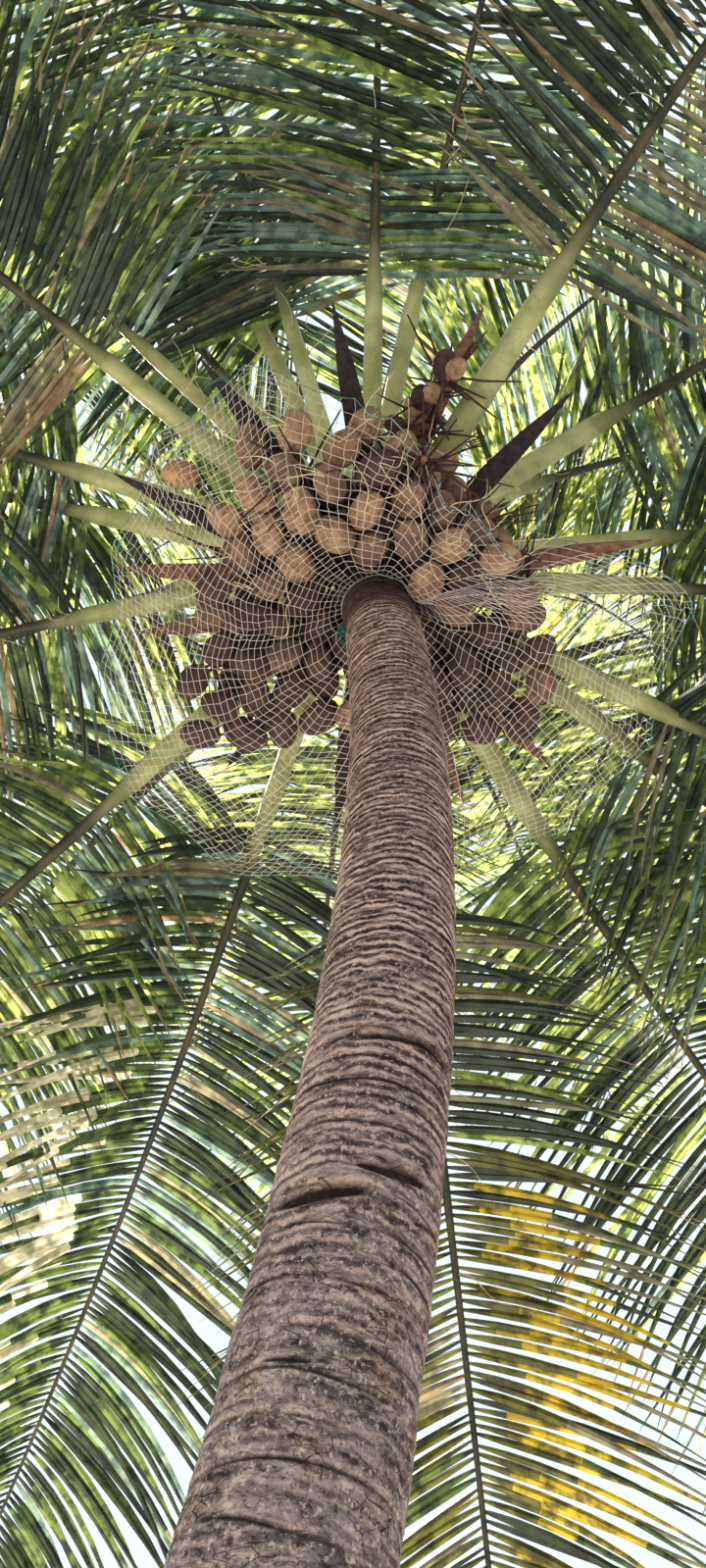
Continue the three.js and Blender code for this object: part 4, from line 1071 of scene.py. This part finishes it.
def add_bract(build, start, azimuth, elevation, length, seed):
    """A boat-shaped blade, folded along its keel, ribbed lengthways, its tip drawn out."""
    rng = np.random.RandomState(seed)
    shares = np.linspace(0, 1, BRACT_RINGS)
    bend = rng.uniform(-9, 5)
    headings = direction(azimuth + rng.uniform(-3, 3) * shares, elevation + bend * shares)
    path = walk(start, headings[:-1] * length / (BRACT_RINGS - 1))
    left = unit(np.cross(UP, headings))
    upper = np.cross(headings, left)
    width = BRACT_HALF_WIDTH * np.interp(shares, [0, 0.2, 0.5, 0.75, 0.92, 1], [0.4, 0.6, 1, 0.8, 0.3, 0.03])
    angle = np.linspace(-1, 1, 9) * np.radians(lerp(150, 96, shares))[:, None] / 2
    flute = 1 + 0.04 * (np.arange(9) % 2)
    sideways = np.sin(angle) * width[:, None] * flute
    downwards = np.cos(angle) * width[:, None] * 0.55 * flute
    outer = path[:, None] + left[:, None] * sideways[..., None] - upper[:, None] * downwards[..., None]
    inner = outer + upper[:, None] * 0.006
    build.add_rings(np.concatenate([outer, inner[:, ::-1]], axis=1))


def bract_pieces():
    black, brown = Build(), Build()
    for i, bunch in enumerate(BUNCHES):
        build = brown if i in BROWN_BRACTS else black
        add_bract(build, stalk_path(bunch)[0], bunch[4], bunch[5], BRACT_LENGTH, 40 + i)
    for i, (azimuth, foot, elevation, length, is_brown) in enumerate(OLD_BRACTS):
        start = beside_trunk(foot, azimuth, -0.01)
        add_bract(brown if is_brown else black, start, azimuth, elevation, length, 60 + i)
    wood = fibre_material("bract_black", (62, 50, 50), (30, 24, 28), 40.0)
    black.piece("bracts_black", wood, "nut_husk", BUNCH_NODES)
    wood = fibre_material("bract_brown", (140, 100, 80), (84, 56, 46), 40.0)
    brown.piece("bracts_brown", wood, "nut_husk", BUNCH_NODES)


# Net


def round_table(table, azimuth):
    """A value at an azimuth, eased between the values of a table at even steps of azimuth."""
    place = azimuth % 360 / 360 * len(table)
    low = np.floor(place).astype(int) % len(table)
    eased = (1 - np.cos(np.pi * (place % 1))) / 2
    values = np.array(table)
    return lerp(values[low], values[(low + 1) % len(table)], eased)


def net_height(azimuth, reach):
    """The bare net's height over a place at an azimuth and a reach from the trunk."""
    inner = trunk_radius(NET_TIE_HEIGHT) + NET_GAP
    share = np.clip((reach - inner) / (round_table(NET_REACHES, azimuth) - inner), 0, 1)
    edge = round_table(NET_EDGES, azimuth)
    return lerp(NET_TIE_HEIGHT, edge, share ** 2) - NET_SAG * 4 * share * (1 - share)


def net_grid(nut_centres):
    """The net's knots, row by row from the trunk, pressed down under the nuts and eased."""
    share = np.linspace(0, 1, NET_ROWS + 1)[:, None]
    azimuth = np.arange(NET_ROUND)[None, :] / NET_ROUND * 360.0 + NET_SPIRAL * share
    rng = np.random.RandomState(5)
    azimuth = azimuth + rng.normal(0, 0.22, azimuth.shape)
    inner = trunk_radius(NET_TIE_HEIGHT) + NET_GAP
    uneven_share = share + rng.normal(0, 0.003, azimuth.shape) * (share > 0) * (share < 1)
    scallop = 1 - 0.05 * np.abs(np.sin(np.radians(azimuth * 7.5)))
    scallop = scallop - 0.03 * np.abs(np.sin(np.radians(azimuth * 3.1)))
    reach = lerp(inner, round_table(NET_REACHES, azimuth) * scallop, uneven_share)
    height = net_height(azimuth, reach)
    flat = NET_MIDDLE[:2] + direction(azimuth, 0)[..., :2] * reach[..., None]
    under = np.full(height.shape, np.inf)
    for centre in nut_centres:
        away = np.hypot(flat[..., 0] - centre[0], flat[..., 1] - centre[1])
        drop = np.sqrt(np.clip(NUT_PRESS_RADIUS ** 2 - away ** 2, 0, None))
        pressed = np.minimum(under, centre[2] - drop - NET_GAP)
        under = np.where(away < NUT_PRESS_RADIUS, pressed, under)
    held = np.minimum(height, under)
    for _ in range(5):
        eased = (held + np.roll(held, 1, axis=1) + np.roll(held, -1, axis=1)) / 3
        eased[1:-1] = (eased[1:-1] + held[:-2] + held[2:]) / 3
        eased[0], eased[-1] = held[0], held[-1]
        held = np.minimum(eased, under)
    return np.concatenate([flat, held[..., None]], axis=-1)


def net_strands(grid):
    """Starts and ends of the strands, their mesh kept near one size all round."""
    reach = np.hypot(grid[..., 0] - NET_MIDDLE[0], grid[..., 1] - NET_MIDDLE[1])
    column = np.arange(NET_ROUND)
    there = (column % 4 == 0) | ((column % 2 == 0) & (reach > NET_FOURTHS_REACH)) | (reach > NET_HALVES_REACH)
    row_step = np.clip(np.round(NET_FULL_SPAN / (reach[-1] - reach[0])), 1, 3).astype(int)
    starts = []
    ends = []
    for row in range(NET_ROWS + 1):
        columns = column[there[row]]
        following = np.roll(columns, -1)
        ringed = (row % row_step[columns] == 0) | (row == NET_ROWS)
        starts.append(grid[row][columns[ringed]])
        ends.append(grid[row][following[ringed]])
        if row < NET_ROWS:
            starts.append(grid[row][columns])
            ends.append(grid[row + 1][columns])
    return np.concatenate(starts), np.concatenate(ends)


def add_strands(build, starts, ends, radius):
    """Three-sided cords between pairs of points."""
    ring = circles(*crosswise(unit(ends - starts), (0.3, 0.2, 0.93)), turns(3))
    points = np.concatenate([starts[:, None] + ring * radius, ends[:, None] + ring * radius], axis=1)
    quads = wall_faces(2, 3) + 6 * np.arange(len(starts))[:, None, None]
    build.add(points, quads.reshape(-1, 4))


def clear_of_ribs(starts, ends, fronds):
    """Which strands don't run through a frond's rib."""
    middles = (starts + ends) / 2
    clear = np.full(len(starts), True)
    shares = np.linspace(0, 0.5, 120)
    for frond in fronds:
        point, heading, left, upper = frond.at(shares)
        gap = middles[:, None] - point[None]
        nearest = np.argmin(np.linalg.norm(gap, axis=-1), axis=1)
        gap = gap[np.arange(len(middles)), nearest]
        off = [np.abs(np.sum(gap * axis[nearest], axis=1)) for axis in (left, upper, heading)]
        half = rib_width(frond, shares)[nearest] / 2
        clear &= ~((off[0] < half) & (off[1] < half * 1.1) & (off[2] < 0.05))
    return clear


def loose_end(build, rng, start, steps, stray, fall, radius):
    """A thread that hangs from a point and strays on its way down."""
    tube(build, walk(start, rng.normal(0, stray, (steps, 3)) - fall * UP), radius, 4)


def net_pieces(nut_centres, fronds):
    grid = net_grid(nut_centres)
    starts, ends = net_strands(grid)
    clear = clear_of_ribs(starts, ends, fronds)
    build = Build()
    add_strands(build, starts[clear], ends[clear], NET_CORD)
    cord = fibre_material("net_cord", (240, 230, 222), (206, 192, 184), 30.0)
    names = [f"net_panel_{i}" for i in (1, 2, 3, 4)]
    build.piece("net_mesh", cord, "net_cord", names)
    rope = Build()
    edge = np.concatenate([grid[-1], grid[-1][:1]])
    edge = edge + np.random.RandomState(9).normal(0, 0.003, edge.shape)
    edge[-1] = edge[0]
    tube(rope, edge, ROPE_RADIUS, 5, False)
    turn = np.linspace(0, 2 * math.pi, 60)
    radius = trunk_radius(COLLAR_HEIGHT) + 0.003
    ring = np.stack([radius * np.cos(turn), radius * np.sin(turn), 0.006 * np.sin(3 * turn)], axis=-1)
    tube(rope, trunk_middle(COLLAR_HEIGHT) + ring, THREAD_RADIUS, 5, False)
    rng = np.random.RandomState(15)
    knot = beside_trunk(KNOT_HEIGHT, KNOT_AZIMUTH, 0.02)
    for _ in range(26):
        loop = unit(rng.normal(0, 1, (9, 3))) * rng.uniform(0.008, 0.032, (9, 1))
        tube(rope, knot + np.concatenate([loop, loop[:1]]), ROPE_RADIUS, 4, False)
    for _ in range(9):
        loose_end(rope, rng, knot, 7, 0.012, 0.012, 0.0016)
    for column in range(4, NET_ROUND, 23):
        loose_end(rope, rng, edge[column], 8, 0.02, 0.022, THREAD_RADIUS)
    green = fibre_material("net_rope", (84, 156, 138), (54, 112, 100), 80.0)
    rope.piece("net_rope", green, "net_cord", names)


# Fibre


def sheath_piece():
    """Fibre of the leaf sheaths, in wisps round the crown."""
    build = Build()
    rng = np.random.RandomState(21)
    for _ in range(420):
        azimuth = rng.uniform(0, 360)
        start = beside_trunk(rng.uniform(6.3, 6.8), azimuth, rng.uniform(0.0, 0.03))
        heading = direction(azimuth + rng.normal(0, 40), rng.uniform(10, 80))
        reach = rng.uniform(0.1, 0.34)
        add_wisp(build, start, heading * reach, rng.normal(0, 0.05, 3), 0.5, [0.005, 0.004, 0.001])
    fibre = fibre_material("sheath_fibre", (120, 88, 62), (66, 46, 36), 70.0)
    build.piece("sheath_fibre", fibre, "trunk_wood")


def add_thread(build, rng, start, go, reach):
    """One curling thread from a point."""
    side = unit(np.cross(go, rng.normal(0, 1, 3)))
    turn = rng.uniform(0, 2 * math.pi)
    curl = np.linspace(0, rng.uniform(2, 6), 12)[:, None]
    path = start + go * curl / curl[-1] * reach
    path = path + side * (np.sin(curl + turn) - math.sin(turn)) * 0.03
    path = path + np.cross(go, side) * (np.cos(curl) - 1) * 0.03
    tube(build, path, np.linspace(0.0028, 0.0012, 12), 3)


def stray_piece(fronds, nut_centres):
    """Threads torn from the leaf bases, caught on the stalks, round the first leaflets and on the nuts."""
    build = Build()
    rng = np.random.RandomState(33)
    for frond in fronds[:30]:
        shares = rng.uniform(0.05, 0.5, 9)
        for point, heading, left, upper in zip(*frond.at(shares)):
            go = heading * rng.normal(0, 0.8) + left * rng.normal(0, 1)
            go = unit(go + upper * rng.normal(-0.3, 0.5))
            add_thread(build, rng, point, go, rng.uniform(0.18, 0.36))
    for centre in nut_centres:
        out = unit((centre - NET_MIDDLE) * np.array([1, 1, 0]))
        if out[1] < -0.1:
            for _ in range(2):
                go = unit(out * rng.uniform(0, 1) + rng.normal(0, 0.7, 3) * np.array([1, 1, 0.2]))
                add_thread(build, rng, centre + out * 0.05 - UP * 0.07, go, rng.uniform(0.08, 0.22))
    fibre = fibre_material("stray_fibre", (240, 226, 184), (204, 184, 140), 50.0)
    build.piece("stray_fibre", fibre, "frond_green")


# Stage, light and camera


def add_object(name, data):
    made = bpy.data.objects.new(name, data)
    bpy.context.scene.collection.objects.link(made)
    return made


def stage():
    mesh = bpy.data.meshes.new("floor")
    rim = [(FLOOR_RADIUS * math.cos(t) + MIDDLE_X, FLOOR_RADIUS * math.sin(t), 0) for t in turns(96)]
    mesh.from_pydata(rim, [], [list(range(96))])
    floor = add_object("floor", mesh)
    s = Shader("floor")
    s.colour = s.mix(s.noise(2.0), (186, 184, 178), (196, 194, 188))
    mesh.materials.append(s.finish(0.9))


def sky():
    """A pale sky that darkens to grey below the horizon."""
    world = bpy.data.worlds.new("sky")
    world.use_nodes = True
    tree = world.node_tree
    height = add_node(tree, "SeparateXYZ", {0: add_node(tree, "TexCoord", {}, "Generated")}, "Z")
    share = add_node(tree, "MapRange", {"Value": height, "From Min": -0.06, "From Max": 0.12}, "Result")
    colours = {0: share, 6: (0.42, 0.44, 0.46, 1.0), 7: (0.93, 1.05, 1.18, 1.0)}
    colour = add_node(tree, "Mix", colours, 2, data_type="RGBA")
    tree.links.new(colour, tree.nodes["Background"].inputs["Color"])
    tree.nodes["Background"].inputs["Strength"].default_value = 1.0
    bpy.context.scene.world = world


def lamps():
    light = bpy.data.lights.new("sun", "SUN")
    light.energy = SUN_STRENGTH
    light.angle = math.radians(2)
    light.color = (1.0, 0.94, 0.82)
    sun = add_object("sun", light)
    sun.rotation_euler = (math.radians(-22), math.radians(-18), 0)
    for turn in (-90, 0, 90, 180):
        panel = bpy.data.lights.new("panel", "AREA")
        panel.shape = "DISK"
        panel.size = 6.0
        panel.energy = PANEL_WATTS
        soft = add_object("panel", panel)
        x, y = PANEL_REACH * math.cos(math.radians(turn)), PANEL_REACH * math.sin(math.radians(turn))
        soft.location = (MIDDLE_X + x, y, 2.6)
        soft.rotation_euler = (math.radians(112), 0, math.radians(turn + 90))
        soft.visible_camera = False


def camera():
    lens = bpy.data.cameras.new("camera")
    lens.lens = 27.0
    lens.clip_start = 0.05
    made = add_object("camera", lens)
    made.location = (0.73, -2.16, 1.6)
    made.rotation_euler = (math.radians(145.5), 0, 0)
    bpy.context.scene.camera = made
    bpy.context.scene.view_settings.view_transform = "Standard"


stage()
sky()
lamps()
camera()
trunk_piece()
all_fronds = [Frond(i, *row) for i, row in enumerate(FRONDS)]
frond_nodes = {
    frond.index: [name for name in sorted(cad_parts) if name.startswith(f"frond_{frond.index + 1:02d}")]
    for frond in all_fronds
}
rib_piece(all_fronds, [name for names in frond_nodes.values() for name in names])
leaf_pieces(all_fronds, frond_nodes)
spear_piece()
nut_centres = fruit_pieces()
bract_pieces()
net_pieces(nut_centres, all_fronds)
sheath_piece()
stray_piece(all_fronds, nut_centres)
